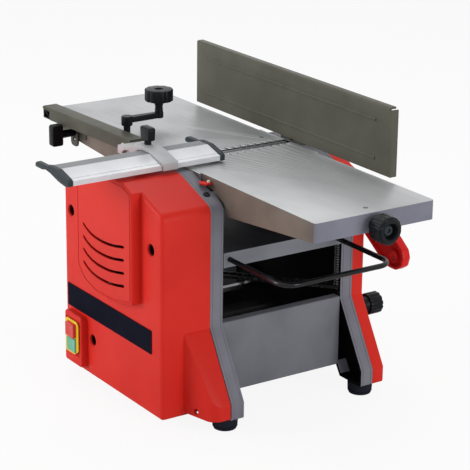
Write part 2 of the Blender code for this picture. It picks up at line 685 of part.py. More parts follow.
def cutter():
    body = joint("cutter", (0, 0, CUTTER_HEIGHT))
    centre = (0, 0, CUTTER_HEIGHT)
    half = PLANING_WIDTH / 2
    bearing_inner = WEB_IN - BEARING_WIDTH
    near_end = -(FRAME_OUT + 0.0215)
    far_end = FRAME_OUT + 0.003
    profile = [(0, far_end), (JOURNAL_RADIUS, far_end), (JOURNAL_RADIUS, bearing_inner - 0.001),
               (0.010, bearing_inner - 0.001), (0.010, half), (BLOCK_RADIUS, half), (BLOCK_RADIUS, -half),
               (0.010, -half), (0.010, -bearing_inner + 0.001), (JOURNAL_RADIUS, -bearing_inner + 0.001),
               (JOURNAL_RADIUS, near_end), (0, near_end)]
    block = turned(profile, "Y", centre)
    slot = KNIFE_THICKNESS / 2 + SEAT
    root = CUTTER_RADIUS - KNIFE_DEPTH - SEAT
    cut(block, *[box((-slot, -half - 0.002, CUTTER_HEIGHT + low), (slot, half + 0.002, CUTTER_HEIGHT + high))
                 for low, high in ((root, 0.03), (-0.03, -root))])
    pinion = plate(gear_outline(FEED_PINION_TEETH, FEED_MODULE, (0, CUTTER_HEIGHT), math.pi / 2),
                   far_end - OVERCUT, far_end + 0.008)
    fuse(block, pinion)
    piece("cutter_block", block, STEEL, body)
    for name, way in (("upper_knife", 1), ("lower_knife", -1)):
        heights = sorted((way * (CUTTER_RADIUS - KNIFE_DEPTH), way * CUTTER_RADIUS))
        blade = box((-KNIFE_THICKNESS / 2, -half, CUTTER_HEIGHT + heights[0]),
                    (KNIFE_THICKNESS / 2, half, CUTTER_HEIGHT + heights[1]))
        piece(name, blade, STEEL, body)
    for name, side in (("near_cutter_bearing", -1), ("far_cutter_bearing", 1)):
        span = sorted((side * (WEB_IN - BEARING_WIDTH), side * WEB_IN))
        piece(name, ring(BEARING_RADIUS, JOURNAL_RADIUS + RUNNING, "Y", centre, *span), STEEL)
    pulley = pulley_profile(CUTTER_PULLEY_RADIUS, JOURNAL_RADIUS + SEAT)
    piece("cutter_pulley", turned(pulley, "Y", (0, belt_middle(), CUTTER_HEIGHT)), STEEL, body)


def belt_middle():
    return -(FRAME_OUT + 0.013)


def pulley_profile(radius, bore):
    half = BELT_WIDTH / 2 + 0.0005
    rim = half + 0.0015
    return [(radius + 0.002, rim), (radius + 0.002, half), (radius, half), (radius, -half),
            (radius + 0.002, -half), (radius + 0.002, -rim), (bore, -rim), (bore, rim)]


def motor():
    front = -(WEB_IN - SEAT)
    back = front + MOTOR_LENGTH
    centre = (0, 0, MOTOR_HEIGHT)
    shell = turned([(MOTOR_RADIUS, back - front), (MOTOR_RADIUS, 0), (0.0085, 0), (0.0085, MOTOR_WALL),
                    (MOTOR_RADIUS - MOTOR_WALL, MOTOR_WALL), (MOTOR_RADIUS - MOTOR_WALL, back - front - MOTOR_WALL),
                    (0.0073, back - front - MOTOR_WALL), (0.0073, back - front)], "Y", (0, front, MOTOR_HEIGHT))
    openings = []
    for index in range(6):
        turn = math.radians(60 * index)
        place = (0.028 * math.cos(turn), 0, MOTOR_HEIGHT + 0.028 * math.sin(turn))
        openings.append(rod(0.008, "Y", place, back - 2 * MOTOR_WALL, back + OVERCUT, 8))
    cut(shell, *openings)
    piece("motor_housing", shell, BLACK_PAINT)
    body = joint("motor", (0, 0, MOTOR_HEIGHT))
    end = belt_middle() - 0.008
    core = MOTOR_RADIUS - MOTOR_WALL - 0.010
    rotor = turned([(0, back + 0.002), (0.007, back + 0.002), (0.007, back - 0.045), (core, back - 0.045),
                    (core, front + 0.045), (0.007, front + 0.045), (0.007, end), (0, end)], "Y", centre)
    piece("motor_rotor", rotor, COPPER, body)
    pulley = pulley_profile(MOTOR_PULLEY_RADIUS, 0.007 + SEAT)
    piece("motor_pulley", turned(pulley, "Y", (0, belt_middle(), MOTOR_HEIGHT)), STEEL, body)

    def path(extra):
        return loop_round([(0, MOTOR_HEIGHT, MOTOR_PULLEY_RADIUS + extra),
                           (0, CUTTER_HEIGHT, CUTTER_PULLEY_RADIUS + extra)])

    middle = belt_middle()
    belt = plate(path(SEAT + BELT_THICKNESS), middle - BELT_WIDTH / 2, middle + BELT_WIDTH / 2,
                 holes=[path(SEAT)])
    piece("drive_belt", belt, RUBBER)


def feed():
    sprocket_low = FRAME_OUT + 0.0125
    sprocket_high = sprocket_low + 0.0050
    half = PLANING_WIDTH / 2
    for name, reach in (("rear_feed_roller", -ROLLER_REACH), ("front_feed_roller", ROLLER_REACH)):
        place = (reach, 0, ROLLER_HEIGHT)
        body = joint(name, place)
        near_end = -(FRAME_OUT - 0.002)
        profile = [(0, sprocket_high), (ROLLER_JOURNAL, sprocket_high), (ROLLER_JOURNAL, half),
                   (ROLLER_RADIUS, half), (ROLLER_RADIUS, -half), (ROLLER_JOURNAL, -half),
                   (ROLLER_JOURNAL, near_end), (0, near_end)]
        piece(name, turned(profile, "Y", place, 24), STEEL if reach < 0 else RUBBER, body)
        wheel = ring(ROLLER_SPROCKET, ROLLER_JOURNAL + SEAT, "Y", place, sprocket_low, sprocket_high)
        piece(name.replace("feed_roller", "roller_sprocket"), wheel, STEEL, body)
    height = feed_gear_height()
    body = joint("feed_gear", (0, 0, height))
    gear = plate(gear_outline(FEED_GEAR_TEETH, FEED_MODULE, (0, height), math.pi / 2 + math.pi / FEED_GEAR_TEETH),
                 FRAME_OUT + 0.003, FRAME_OUT + 0.011)
    fuse(gear, rod(FEED_SPROCKET, "Y", (0, 0, height), FRAME_OUT + 0.010, sprocket_high, 24))
    cut(gear, rod(0.006 + RUNNING, "Y", (0, 0, height), FRAME_OUT, FAR_FACE, SMALL_ROUND))
    piece("feed_gear", gear, STEEL, body)

    def path(extra):
        return loop_round([(0, height, FEED_SPROCKET + extra),
                           (ROLLER_REACH, ROLLER_HEIGHT, ROLLER_SPROCKET + extra),
                           (-ROLLER_REACH, ROLLER_HEIGHT, ROLLER_SPROCKET + extra)])

    chain = plate(path(SEAT + CHAIN_THICKNESS), sprocket_low, sprocket_high, holes=[path(SEAT)])
    piece("feed_chain", chain, STEEL)

    place = (-PAWL_REACH, 0, PAWL_HEIGHT)
    piece("pawl_rod", rod(0.0035, "Y", place, -(FRAME_OUT - 0.001), FRAME_OUT - 0.001, SMALL_ROUND), STEEL)
    body = joint("kickback_pawls", place)
    sleeve = rod(0.0058, "Y", place, -0.100, 0.100, SMALL_ROUND)
    claw = [(-0.0045, 0.001), (-0.0030, -PAWL_LENGTH + 0.004), (0.0, -PAWL_LENGTH), (0.0050, -PAWL_LENGTH),
            (0.0045, 0.001)]
    outline = [(across - PAWL_REACH, up + PAWL_HEIGHT) for across, up in claw]
    pawls = [plate(outline, side - 0.005, side + 0.005) for side in [0.0225 * step for step in range(-4, 5)]]
    fuse(sleeve, *pawls)
    cut(sleeve, rod(0.0035 + RUNNING, "Y", place, -0.12, 0.12, SMALL_ROUND))
    piece("kickback_pawls", sleeve, STEEL, body)


# Thicknessing table and its lift

def bed_and_lift():
    body = joint("bed", (0, 0, BED_HEIGHT))
    low = BED_HEIGHT - BED_DEPTH
    half = BED_WIDTH / 2
    bed = box((BED_REAR, -half, low), (BED_FRONT, half, BED_HEIGHT))
    lugs = []
    corners = [(end * SCREW_REACH, side * SCREW_SIDE) for side in (-1, 1) for end in (-1, 1)]
    for across, along in corners:
        side = 1 if along > 0 else -1
        inner, outer = sorted((side * (half - 0.004), along))
        lugs.append(box((across - LUG_RADIUS + 0.001, inner, low + 0.001),
                        (across + LUG_RADIUS - 0.001, outer, BED_HEIGHT - 0.002)))
        lugs.append(rod(LUG_RADIUS, "Z", (across, along, 0), low, BED_HEIGHT - 0.001, SMALL_ROUND))
    cut(bed, box((BED_REAR + 0.006, -half + 0.006, low - OVERCUT),
                 (BED_FRONT - 0.006, half - 0.006, BED_HEIGHT - BED_PLATE)))
    wire_height = BED_HEIGHT - BED_PLATE - WIRE_RADIUS - 0.001
    rib = box((0.040, -half + 0.005, low + 0.002), (0.046, half - 0.005, BED_HEIGHT - BED_PLATE + OVERCUT))
    fuse(bed, *lugs, rib)
    cut(bed, *[rod(SCREW_RADIUS + RUNNING, "Z", (across, along, 0), low - OVERCUT, BED_HEIGHT + OVERCUT, SMALL_ROUND)
               for across, along in corners])
    cut(bed, *[rod(WIRE_RADIUS + RUNNING, "X", (0, side * WIRE_SIDE, wire_height), 0.030, BED_FRONT + OVERCUT,
                   SMALL_ROUND) for side in (-1, 1)])
    piece("thicknessing_table", bed, TABLE_METAL, body)

    support = joint("wire_support", (BED_FRONT, 0, wire_height))
    corner = 0.024
    front = BED_FRONT + WIRE_REACH - WIRE_RADIUS
    bends = [(0.020, -WIRE_SIDE), (front, -WIRE_SIDE), (front, WIRE_SIDE), (0.020, WIRE_SIDE)]
    path = rounded(bends, [0, corner, corner, 0], 6)
    curve = bpy.data.curves.new("wire", "CURVE")
    curve.dimensions = "3D"
    curve.bevel_depth = WIRE_RADIUS
    curve.bevel_resolution = 3
    curve.use_fill_caps = True
    spline = curve.splines.new("POLY")
    spline.points.add(len(path) - 1)
    for point, (across, along) in zip(spline.points, path):
        point.co = (across, along, wire_height, 1)
    piece("wire_support", link(bpy.data.objects.new("wire", curve)), BLACK_PAINT, support)

    gear_top = LIFT_GEAR_BOTTOM + LIFT_GEAR_WIDTH
    for name, across, along in (("near_lead_screw", -SCREW_REACH, -SCREW_SIDE),
                                ("far_lead_screw", SCREW_REACH, SCREW_SIDE)):
        body = joint(name, (across, along, SCREW_FOOT))
        chain_low = SCREW_FOOT + 0.010
        profile = [(0, SCREW_TOP), (SCREW_RADIUS, SCREW_TOP), (SCREW_RADIUS, chain_low + 0.006),
                   (LIFT_SPROCKET, chain_low + 0.006), (LIFT_SPROCKET, chain_low),
                   (SCREW_RADIUS, chain_low), (SCREW_RADIUS, SCREW_FOOT), (0, SCREW_FOOT)]
        screw = turned(profile, "Z", (across, along, 0), SMALL_ROUND)
        if across < 0:
            facing = math.atan2(SCREW_SIDE - CRANK_SIDE, -(CRANK_REACH - SCREW_REACH))
            fuse(screw, plate(gear_outline(LIFT_GEAR_TEETH, LIFT_MODULE, (across, along), facing),
                              LIFT_GEAR_BOTTOM, gear_top, "XY"))
        piece(name, screw, STEEL, body)
    for name, across, along in (("near_guide_post", SCREW_REACH, -SCREW_SIDE),
                                ("far_guide_post", -SCREW_REACH, SCREW_SIDE)):
        piece(name, rod(SCREW_RADIUS, "Z", (across, along, 0), SCREW_FOOT, SCREW_TOP, SMALL_ROUND), STEEL)

    def path_round(extra):
        return loop_round([(-SCREW_REACH, -SCREW_SIDE, LIFT_SPROCKET + extra),
                           (SCREW_REACH, SCREW_SIDE, LIFT_SPROCKET + extra)], 10)

    chain = plate(path_round(SEAT + CHAIN_THICKNESS), SCREW_FOOT + 0.010, SCREW_FOOT + 0.015, "XY",
                  holes=[path_round(SEAT)])
    piece("lift_chain", chain, STEEL)


def crank():
    place = (-CRANK_REACH, -CRANK_SIDE, 0)
    body = joint("crank", place)
    shaft = rod(CRANK_SHAFT, "Z", place, LIFT_GEAR_BOTTOM, CRANK_ARM_HEIGHT, 24)
    facing = math.atan2(CRANK_SIDE - SCREW_SIDE, CRANK_REACH - SCREW_REACH)
    gear = plate(gear_outline(LIFT_GEAR_TEETH, LIFT_MODULE, place[:2], facing + math.pi / LIFT_GEAR_TEETH),
                 LIFT_GEAR_BOTTOM, LIFT_GEAR_BOTTOM + LIFT_GEAR_WIDTH, "XY")
    knob_y = -CRANK_SIDE + CRANK_ARM
    bar = [(-CRANK_REACH + 0.0052, knob_y), (-CRANK_REACH - 0.0052, knob_y), (-CRANK_REACH - 0.0068, -CRANK_SIDE),
           (-CRANK_REACH + 0.0068, -CRANK_SIDE)]
    arm = plate(bar, CRANK_ARM_HEIGHT - 0.0045, CRANK_ARM_HEIGHT + 0.0045, "XY")
    hub = rod(0.0090, "Z", place, CRANK_ARM_HEIGHT - 0.009, CRANK_ARM_HEIGHT + 0.006, 24)
    eye = rod(0.0072, "Z", (-CRANK_REACH, knob_y, 0), CRANK_ARM_HEIGHT - 0.0045, CRANK_ARM_HEIGHT + 0.0045, 24)
    pin = rod(0.0040, "Z", (-CRANK_REACH, knob_y, 0), CRANK_ARM_HEIGHT, CRANK_ARM_HEIGHT + 0.038, SMALL_ROUND)
    fuse(shaft, gear, arm, hub, eye, pin)
    piece("crank_handle", shaft, BLACK_PLASTIC, body)
    spin = joint("crank_knob", (-CRANK_REACH, knob_y, CRANK_ARM_HEIGHT))
    bore = 0.0040 + RUNNING
    profile = [(0.010, 0.0425), (0.0195, 0.0425), (0.0218, 0.0395), (0.0226, 0.0250), (0.0210, 0.0235),
               (0.0070, 0.0235), (0.0070, 0.0048), (bore, 0.0048), (bore, 0.0400), (0.010, 0.0400)]
    knob = turned(profile, "Z", (-CRANK_REACH, knob_y, CRANK_ARM_HEIGHT))
    piece("crank_knob", knob, BLACK_PLASTIC, spin)


# Guard

def wing_knob(place, axis, stud_start, sleeve, height):
    """A flat two-winged head on a sleeve, with its stud, standing along an axis."""
    lift = sleeve + height / 2
    half_width = 0.018
    half_depth = 0.0065
    outline = rounded([(-half_width, -height / 2), (half_width, -height / 2), (half_width, height / 2),
                       (-half_width, height / 2)], [0.006, 0.006, 0.003, 0.003], 3)
    if axis == "Z":
        shifted = [(place[0] + across, place[2] + lift + up) for across, up in outline]
        head = plate(shifted, place[1] - half_depth, place[1] + half_depth)
        stem = rod(0.0055, "Z", place, 0, lift, SMALL_ROUND)
        stud = rod(0.0030, "Z", place, stud_start, lift, SMALL_ROUND)
    else:
        shifted = [(place[1] - lift - up, place[2] + across) for across, up in outline]
        head = plate(shifted, place[0] - half_depth - 0.003, place[0] + half_depth + 0.003, "YZ")
        stem = rod(0.0060, "Y", place, -lift, 0, SMALL_ROUND)
        stud = rod(0.0030, "Y", place, -lift, stud_start, SMALL_ROUND)
    return fuse(head, stem, stud)


def guard_arm():
    start = -ARM_END - ARM_LENGTH
    top = 0.3835
    wall = 0.020
    section = [(-ARM_OUTSIDE, top - wall), (-ARM_OUTSIDE + ARM_WALL, top - wall),
               (-ARM_OUTSIDE + ARM_WALL, top - ARM_WALL), (-ARM_INSIDE - ARM_WALL, top - ARM_WALL),
               (-ARM_INSIDE - ARM_WALL, top - wall), (-ARM_INSIDE, top - wall), (-ARM_INSIDE, top),
               (-ARM_OUTSIDE, top)]
    channel = plate(section, -ARM_LENGTH, 0, "YZ")
    body = joint("guard_arm", (PIVOT[0], -ARM_OUTSIDE, PIVOT[1]))
    far_in, far_out = -ARM_INSIDE - ARM_WALL, -ARM_INSIDE
    channel.location = (-ARM_END - ARM_LENGTH / 2, 0, 0)
    lean(channel, (-ARM_END, 0, top), -ARM_SLOPE)
    lug = rounded([(PIVOT[0] - 0.010, PIVOT[1] - 0.010), (PIVOT[0] + 0.010, PIVOT[1] - 0.010),
                   (PIVOT[0] + 0.014, top - 0.012), (PIVOT[0] - 0.013, top - 0.012)], [0.009, 0.009, 0, 0])
    tab = rounded([(LOCK[0] - 0.015, LOCK[1] - 0.024), (LOCK[0] + 0.008, LOCK[1] - 0.024),
                   (LOCK[0] + 0.008, top - 0.012), (LOCK[0] - 0.015, top - 0.012)], [0.0075, 0.0075, 0, 0])
    fuse(channel, plate(lug, far_in, far_out), plate(tab, far_in, far_out))
    radius = math.hypot(LOCK[0] - PIVOT[0], LOCK[1] - PIVOT[1])
    rest = math.atan2(LOCK[1] - PIVOT[1], LOCK[0] - PIVOT[0])
    width = 0.0030 + RUNNING
    slot = []
    for reach, turns in ((radius - width, range(7)), (radius + width, range(6, -1, -1))):
        for step in turns:
            turn = rest + math.radians(4.5 - (ARM_SWING + 9.0) * step / 6)
            slot.append((PIVOT[0] + reach * math.cos(turn), PIVOT[1] + reach * math.sin(turn)))
    cut(channel, plate(slot, far_in - OVERCUT, far_out + OVERCUT),
        rod(0.004 + RUNNING, "Y", (PIVOT[0], 0, PIVOT[1]), far_in - OVERCUT, far_out + OVERCUT, SMALL_ROUND),
        box((start - OVERCUT, -ARM_OUTSIDE - OVERCUT, 0.340), (start + 0.026, -ARM_OUTSIDE + 2 * ARM_WALL, 0.3665)))
    piece("guard_arm", channel, OLIVE_PAINT, body)

    skin_out, skin_in = -ARM_INSIDE + SEAT, -HALF_TABLE - SEAT
    strip = rounded([(PIVOT[0] - 0.012, 0.3370), (LOCK[0] + 0.030, 0.3340), (LOCK[0] + 0.030, 0.3560),
                     (PIVOT[0] - 0.012, 0.3600)], [0.006, 0.003, 0.003, 0.006])
    bracket = plate(strip, skin_out, skin_in,
                    holes=[circle(PIVOT, 0.004 + SEAT), circle(LOCK, 0.003 + SEAT)])
    piece("arm_bracket", bracket, OLIVE_PAINT)
    bolt = turned([(0, -0.1056), (0.004, -0.1056), (0.004, far_in - SEAT), (0.0080, far_in - SEAT),
                   (0.0080, far_in - 0.006), (0, far_in - 0.006)], "Y", (PIVOT[0], 0, PIVOT[1]), 24)
    piece("arm_pivot_bolt", bolt, STEEL)
    knob = wing_knob((LOCK[0], -0.1125, LOCK[1]), "Y", 0.0070, 0.0225, 0.020)
    piece("arm_wing_knob", knob, BLACK_PLASTIC, joint("arm_wing_knob", (LOCK[0], -0.1125, LOCK[1])))


def guard():
    """The bridge guard, its clamp and its two end caps."""
    clamp_outline = [(0.0537, 0.3708), (0.0537, 0.3822), (0.0190, 0.3925), (0.0000, 0.3952), (-0.0300, 0.3952),
                     (-0.0340, 0.3885), (-ARM_END + 3 * SEAT, 0.3800), (-ARM_END + 3 * SEAT, 0.3675), (-0.0440, 0.3675),
                     (-0.0240, 0.3770), (-0.0240, 0.3850), (-0.0086, 0.3892), (0.0171, 0.3892),
                     (0.0506, 0.3797), (0.0506, 0.3708)]
    middle = -(CLAMP_NEAR + CLAMP_FAR) / 2
    clamp = plate(clamp_outline, -CLAMP_NEAR, -CLAMP_FAR)
    tongue = box((-ARM_END - 0.026, -ARM_OUTSIDE + ARM_WALL + SEAT, 0.3675),
                 (-0.060, -ARM_INSIDE - ARM_WALL - SEAT, 0.3795))
    fuse(clamp, tongue)
    cut(clamp, rod(0.0030 + RUNNING, "Z", (-0.012, middle, 0), 0.380, 0.400, SMALL_ROUND))
    arm = bpy.data.objects["guard_arm_joint"]
    piece("guard_clamp", clamp, BRIGHT_ALUMINIUM, arm)
    knob = wing_knob((-0.012, middle, 0.3956), "Z", -0.0066, 0.006, 0.021)
    piece("guard_wing_knob", knob, BLACK_PLASTIC, joint("guard_wing_knob", (-0.012, middle, 0.3956)))

    body = joint("guard_profile", (0.0, middle, TABLE_HEIGHT))
    section = [(0.0500, 0.3712), (0.0500, 0.3790), (0.0168, 0.3885), (-0.0082, 0.3885), (-0.0200, 0.3848),
               (-0.0192, 0.3822), (-0.0077, 0.3860), (0.0164, 0.3860), (0.0475, 0.3771), (0.0475, 0.3712)]
    cap = [(0.0510, 0.3710), (0.0510, 0.3795), (0.0470, 0.3818), (0.0190, 0.3895), (-0.0060, 0.3895),
           (-0.0220, 0.3862), (-0.0450, 0.3862), (-0.0500, 0.3830), (-0.0500, 0.3775), (-0.0300, 0.3775),
           (-0.0180, 0.3800), (-0.0050, 0.3780), (0.0200, 0.3715), (0.0400, 0.3690)]
    cap = rounded(cap, [0.001, 0.002, 0.002, 0.010, 0.010, 0.010, 0.004, 0.002, 0.002, 0.003, 0.006, 0.006, 0.006,
                        0.003], 2)
    items = [("guard_profile", plate(section, -GUARD_NEAR + CAP_WIDTH + SEAT, -GUARD_FAR - CAP_WIDTH - SEAT),
              BRIGHT_ALUMINIUM),
             ("guard_near_cap", plate(cap, -GUARD_NEAR, -GUARD_NEAR + CAP_WIDTH), SLATE_PLASTIC),
             ("guard_far_cap", plate(cap, -GUARD_FAR - CAP_WIDTH, -GUARD_FAR), SLATE_PLASTIC)]
    for name, item, material in items:
        piece(name, item, material, body)


# Fence

def fence():
    bottom = TABLE_HEIGHT + FENCE_LIFT
    top = bottom + FENCE_HEIGHT
    back = FENCE_FACE + FENCE_SHEET
    pivot = (FENCE_FACE + FENCE_PIVOT_SET, TABLE_HEIGHT + FENCE_PIVOT_RISE)
    body = joint("fence", (0, *pivot))
    skin = box((-FENCE_REAR, FENCE_FACE, bottom), (FENCE_FRONT, back, top))
    flange = FENCE_FACE + FENCE_FLANGE
    parts = [box((-FENCE_REAR, FENCE_FACE, top - FENCE_SHEET), (FENCE_FRONT, flange, top))]
    for end, inward in ((-FENCE_REAR, 1), (FENCE_FRONT, -1)):
        across = sorted((end, end + inward * FENCE_SHEET))
        parts.append(box((across[0], FENCE_FACE, bottom), (across[1], flange, top)))

    def polar(reach, degrees):
        turn = math.radians(degrees)
        return pivot[0] + reach * math.cos(turn), pivot[1] + reach * math.sin(turn)

    low_angle = FENCE_STUD_ANGLE - 8
    high_angle = FENCE_STUD_ANGLE + FENCE_TILT + 9
    rim = [polar(FENCE_STUD_REACH + 0.007, low_angle + (high_angle - low_angle) * step / 6) for step in range(7)]
    gusset = [(FENCE_FACE + OVERCUT, bottom + 0.0002), polar(0.006, -95), polar(0.006, -40), polar(0.0075, 0)]
    gusset += rim + [(back, pivot[1] + FENCE_STUD_REACH + 0.018),
                     (FENCE_FACE + OVERCUT, pivot[1] + FENCE_STUD_REACH + 0.018)]
    parts.append(plate(gusset, -0.0025, 0.0025, "YZ"))
    fuse(skin, *parts)
    width = 0.0030 + RUNNING
    slot = [polar(FENCE_STUD_REACH - width, FENCE_STUD_ANGLE - 7 + (FENCE_TILT + 14) * step / 8) for step in range(9)]
    slot += [polar(FENCE_STUD_REACH + width, FENCE_STUD_ANGLE - 7 + (FENCE_TILT + 14) * step / 8)
             for step in range(8, -1, -1)]
    cut(skin, plate(slot, -0.005, 0.005, "YZ"),
        rod(0.0040 + RUNNING, "X", (0, *pivot), -0.006, 0.006, SMALL_ROUND))
    piece("fence_plate", skin, OLIVE_PAINT, body)

    foot_low = SHOULDER_TOP + SEAT
    foot_high = bottom - 0.0012
    foot = box((-0.030, back + 0.0035, foot_low), (0.030, FAR_FACE - 0.001, foot_high))
    stud = polar(FENCE_STUD_REACH, FENCE_STUD_ANGLE)
    ear = rounded([(back + 0.0045, foot_low + 0.001), (FAR_FACE - 0.004, foot_low + 0.001),
                   (stud[0] + 0.009, stud[1] + 0.003), (stud[0] - 0.004, stud[1] + 0.010),
                   (back + 0.0045, pivot[1] + 0.0052)], [0, 0, 0.005, 0.005, 0.001])
    inner = 0.0025 + RUNNING
    ears = [plate(ear, *span, "YZ") for span in ((-inner - 0.0045, -inner), (inner, inner + 0.0045))]
    cut(foot, box((-inner - 0.0006, back, foot_low - OVERCUT), (inner + 0.0006, back + 0.0385, foot_high + OVERCUT)))
    fuse(foot, *ears, rod(0.0040, "X", (0, *pivot), -inner - 0.004, inner + 0.004, SMALL_ROUND))
    cut(foot, rod(0.0030 + RUNNING, "X", (0, *stud), -0.02, 0.02, SMALL_ROUND))
    piece("fence_bracket", foot, OLIVE_PAINT)

    place = (0, *stud)
    grip_start = inner + 0.0045 + SEAT
    knob = turned([(0, 0.036), (0.012, 0.036), (0.0140, 0.033), (0.0140, 0.022), (0.0080, 0.018),
                   (0.0080, grip_start), (0.0030, grip_start), (0.0030, -0.010), (0, -0.010)], "X", place)
    piece("fence_lock_knob", knob, BLACK_PLASTIC, joint("fence_lock_knob", place))


# Controls and accessories

def controls():
    face = -SWITCH_FACE - SEAT
    left, right = SWITCH_SIDE - 0.0120, SWITCH_SIDE + 0.0140
    window = [rectangle((left, SWITCH_HEIGHT + low), (right, SWITCH_HEIGHT + low + 0.0230))
              for low in (0.0010, -0.0240)]
    plate_outline = rectangle((SWITCH_SIDE - 0.0200, SWITCH_HEIGHT - 0.0280),
                              (SWITCH_SIDE + 0.0200, SWITCH_HEIGHT + 0.0280))
    piece("switch_plate", plate(rounded(plate_outline, [0.003] * 4, 3), face, face - 0.0022, holes=window),
          YELLOW_PLASTIC)
    for name, low, proud, material in (("stop_button", 0.0014, 0.0075, RED_PLASTIC),
                                       ("start_button", -0.0236, 0.0050, GREEN_PLASTIC)):
        low += SWITCH_HEIGHT
        body = joint(name, ((left + right) / 2, face, low + 0.0111))
        key = box((left + 0.0004, face - proud, low), (right - 0.0004, face + 0.0100, low + 0.0222))
        piece(name, key, material, body)
    face = -NEAR_FACE - SEAT
    band = rounded(rectangle((-0.1360, 0.1140), (0.1170, 0.1515)), [0.002] * 4, 2)
    piece("label_plate", plate(band, face, face - 0.0008), BLACK_PLASTIC)

    place = (FEED_KNOB[0], 0, FEED_KNOB[1])
    profile = [(0, 0.1940), (0.0160, 0.1940), (0.0175, 0.1920), (0.0175, 0.1790), (0.0090, 0.1770),
               (0.0090, FAR_FACE + SEAT), (0.0060, FAR_FACE + SEAT), (0.0060, 0.1440), (0, 0.1440)]
    piece("feed_knob", turned(profile, "Y", place), BLACK_PLASTIC, joint("feed_knob", (*place[:1], FAR_FACE, place[2])))

    outline = [(0.180, 0.220), (0.205, 0.209), (0.222, 0.209), (0.236, 0.218), (0.240, 0.232), (0.236, 0.244),
               (0.217, 0.258), (0.062, 0.356), (0.048, 0.352), (0.046, 0.336), (0.028, 0.336), (0.026, 0.322),
               (0.034, 0.314), (0.152, 0.239)]
    radii = [0.010, 0.008, 0.008, 0.007, 0.006, 0.008, 0.020, 0.004, 0.003, 0.002, 0.002, 0.003, 0.004, 0.010]
    start = FAR_FACE + 0.0010
    end = start + 0.014
    stick = plate(rounded(outline, radii, 2), start, end)
    core = rounded(inset(outline, 0.004), radii, 2)
    cut(stick, plate(core, start - OVERCUT, start + 0.005), plate(core, end - 0.005, end + OVERCUT))
    boss = [rod(0.0085, "Y", (peg[0], 0, peg[1]), start, end, SMALL_ROUND) for peg in STICK_PEGS]
    eye = rod(0.0100, "Y", (0.2145, 0, 0.229), start + 0.001, end - 0.001, SMALL_ROUND)
    fuse(stick, *boss, eye)
    cut(stick, rod(0.0070, "Y", (0.2145, 0, 0.229), start - OVERCUT, end + OVERCUT, SMALL_ROUND),
        *[rod(0.0050 + RUNNING, "Y", (peg[0], 0, peg[1]), start - OVERCUT, end + OVERCUT, SMALL_ROUND)
          for peg in STICK_PEGS])
    piece("push_stick", stick, RED_PLASTIC, joint("push_stick", (STICK_PEGS[0][0], start, STICK_PEGS[0][1])))


def stand_on_origin():
    """Moves the machine so that the middle of its footprint is the world's origin."""
    bpy.context.view_layer.update()
    graph = bpy.context.evaluated_depsgraph_get()
    points = []
    for item in PARTS.objects:
        if item.type not in ("MESH", "CURVE"):
            continue
        seen = item.evaluated_get(graph)
        mesh = seen.to_mesh()
        points += [seen.matrix_world @ vertex.co for vertex in mesh.vertices]
        seen.to_mesh_clear()
    lows = [min(point[axis] for point in points) for axis in range(3)]
    highs = [max(point[axis] for point in points) for axis in range(3)]
    ROOT.location = (-(lows[0] + highs[0]) / 2, -(lows[1] + highs[1]) / 2, -lows[2])
    bpy.context.view_layer.update()
    print("footprint middle moved by", [round(value, 6) for value in ROOT.location],
          "size", [round(high - low, 4) for low, high in zip(lows, highs)])


base()
covers()
tables()
cutter()
motor()
feed()
bed_and_lift()
crank()
guard_arm()
guard()
fence()
controls()
stand_on_origin()
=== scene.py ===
"""The looks of a bench planer-thicknesser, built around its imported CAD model.

Lengths are metres. Pieces are made with X = 0 on the cutter's axis and Y = 0 along the
middle of the tables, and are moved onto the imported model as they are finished.
"""

import math

import bmesh
import bpy
from mathutils import Matrix, Quaternion, Vector


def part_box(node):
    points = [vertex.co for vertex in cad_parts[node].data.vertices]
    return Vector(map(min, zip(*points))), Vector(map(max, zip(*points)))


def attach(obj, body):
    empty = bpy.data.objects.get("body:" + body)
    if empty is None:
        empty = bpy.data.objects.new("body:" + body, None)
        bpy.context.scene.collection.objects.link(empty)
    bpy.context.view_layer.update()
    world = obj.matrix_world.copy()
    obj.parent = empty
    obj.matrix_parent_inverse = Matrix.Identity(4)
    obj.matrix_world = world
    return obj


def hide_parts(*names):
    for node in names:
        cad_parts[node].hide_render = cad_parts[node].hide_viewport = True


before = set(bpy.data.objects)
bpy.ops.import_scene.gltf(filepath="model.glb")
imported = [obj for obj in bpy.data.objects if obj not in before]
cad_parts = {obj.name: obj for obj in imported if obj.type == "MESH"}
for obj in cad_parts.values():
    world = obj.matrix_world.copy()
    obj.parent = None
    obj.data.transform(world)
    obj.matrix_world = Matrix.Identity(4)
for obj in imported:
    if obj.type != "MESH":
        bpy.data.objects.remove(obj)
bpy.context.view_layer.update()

cutter_low, cutter_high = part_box("cutter_block")
table_low, table_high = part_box("outfeed_table")
ORIGIN = Vector(((cutter_low.x + cutter_high.x) / 2, (table_low.y + table_high.y) / 2, 0))


def extent(node):
    """A CAD node's corners, measured from the cutter's axis."""
    low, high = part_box(node)
    return low - ORIGIN, high - ORIGIN


def centre_line(node, axis):
    """A place on the line along an axis through a CAD node's middle."""
    low, high = extent(node)
    return tuple(0 if letter == axis else (low[index] + high[index]) / 2
        for index, letter in enumerate("XYZ"))


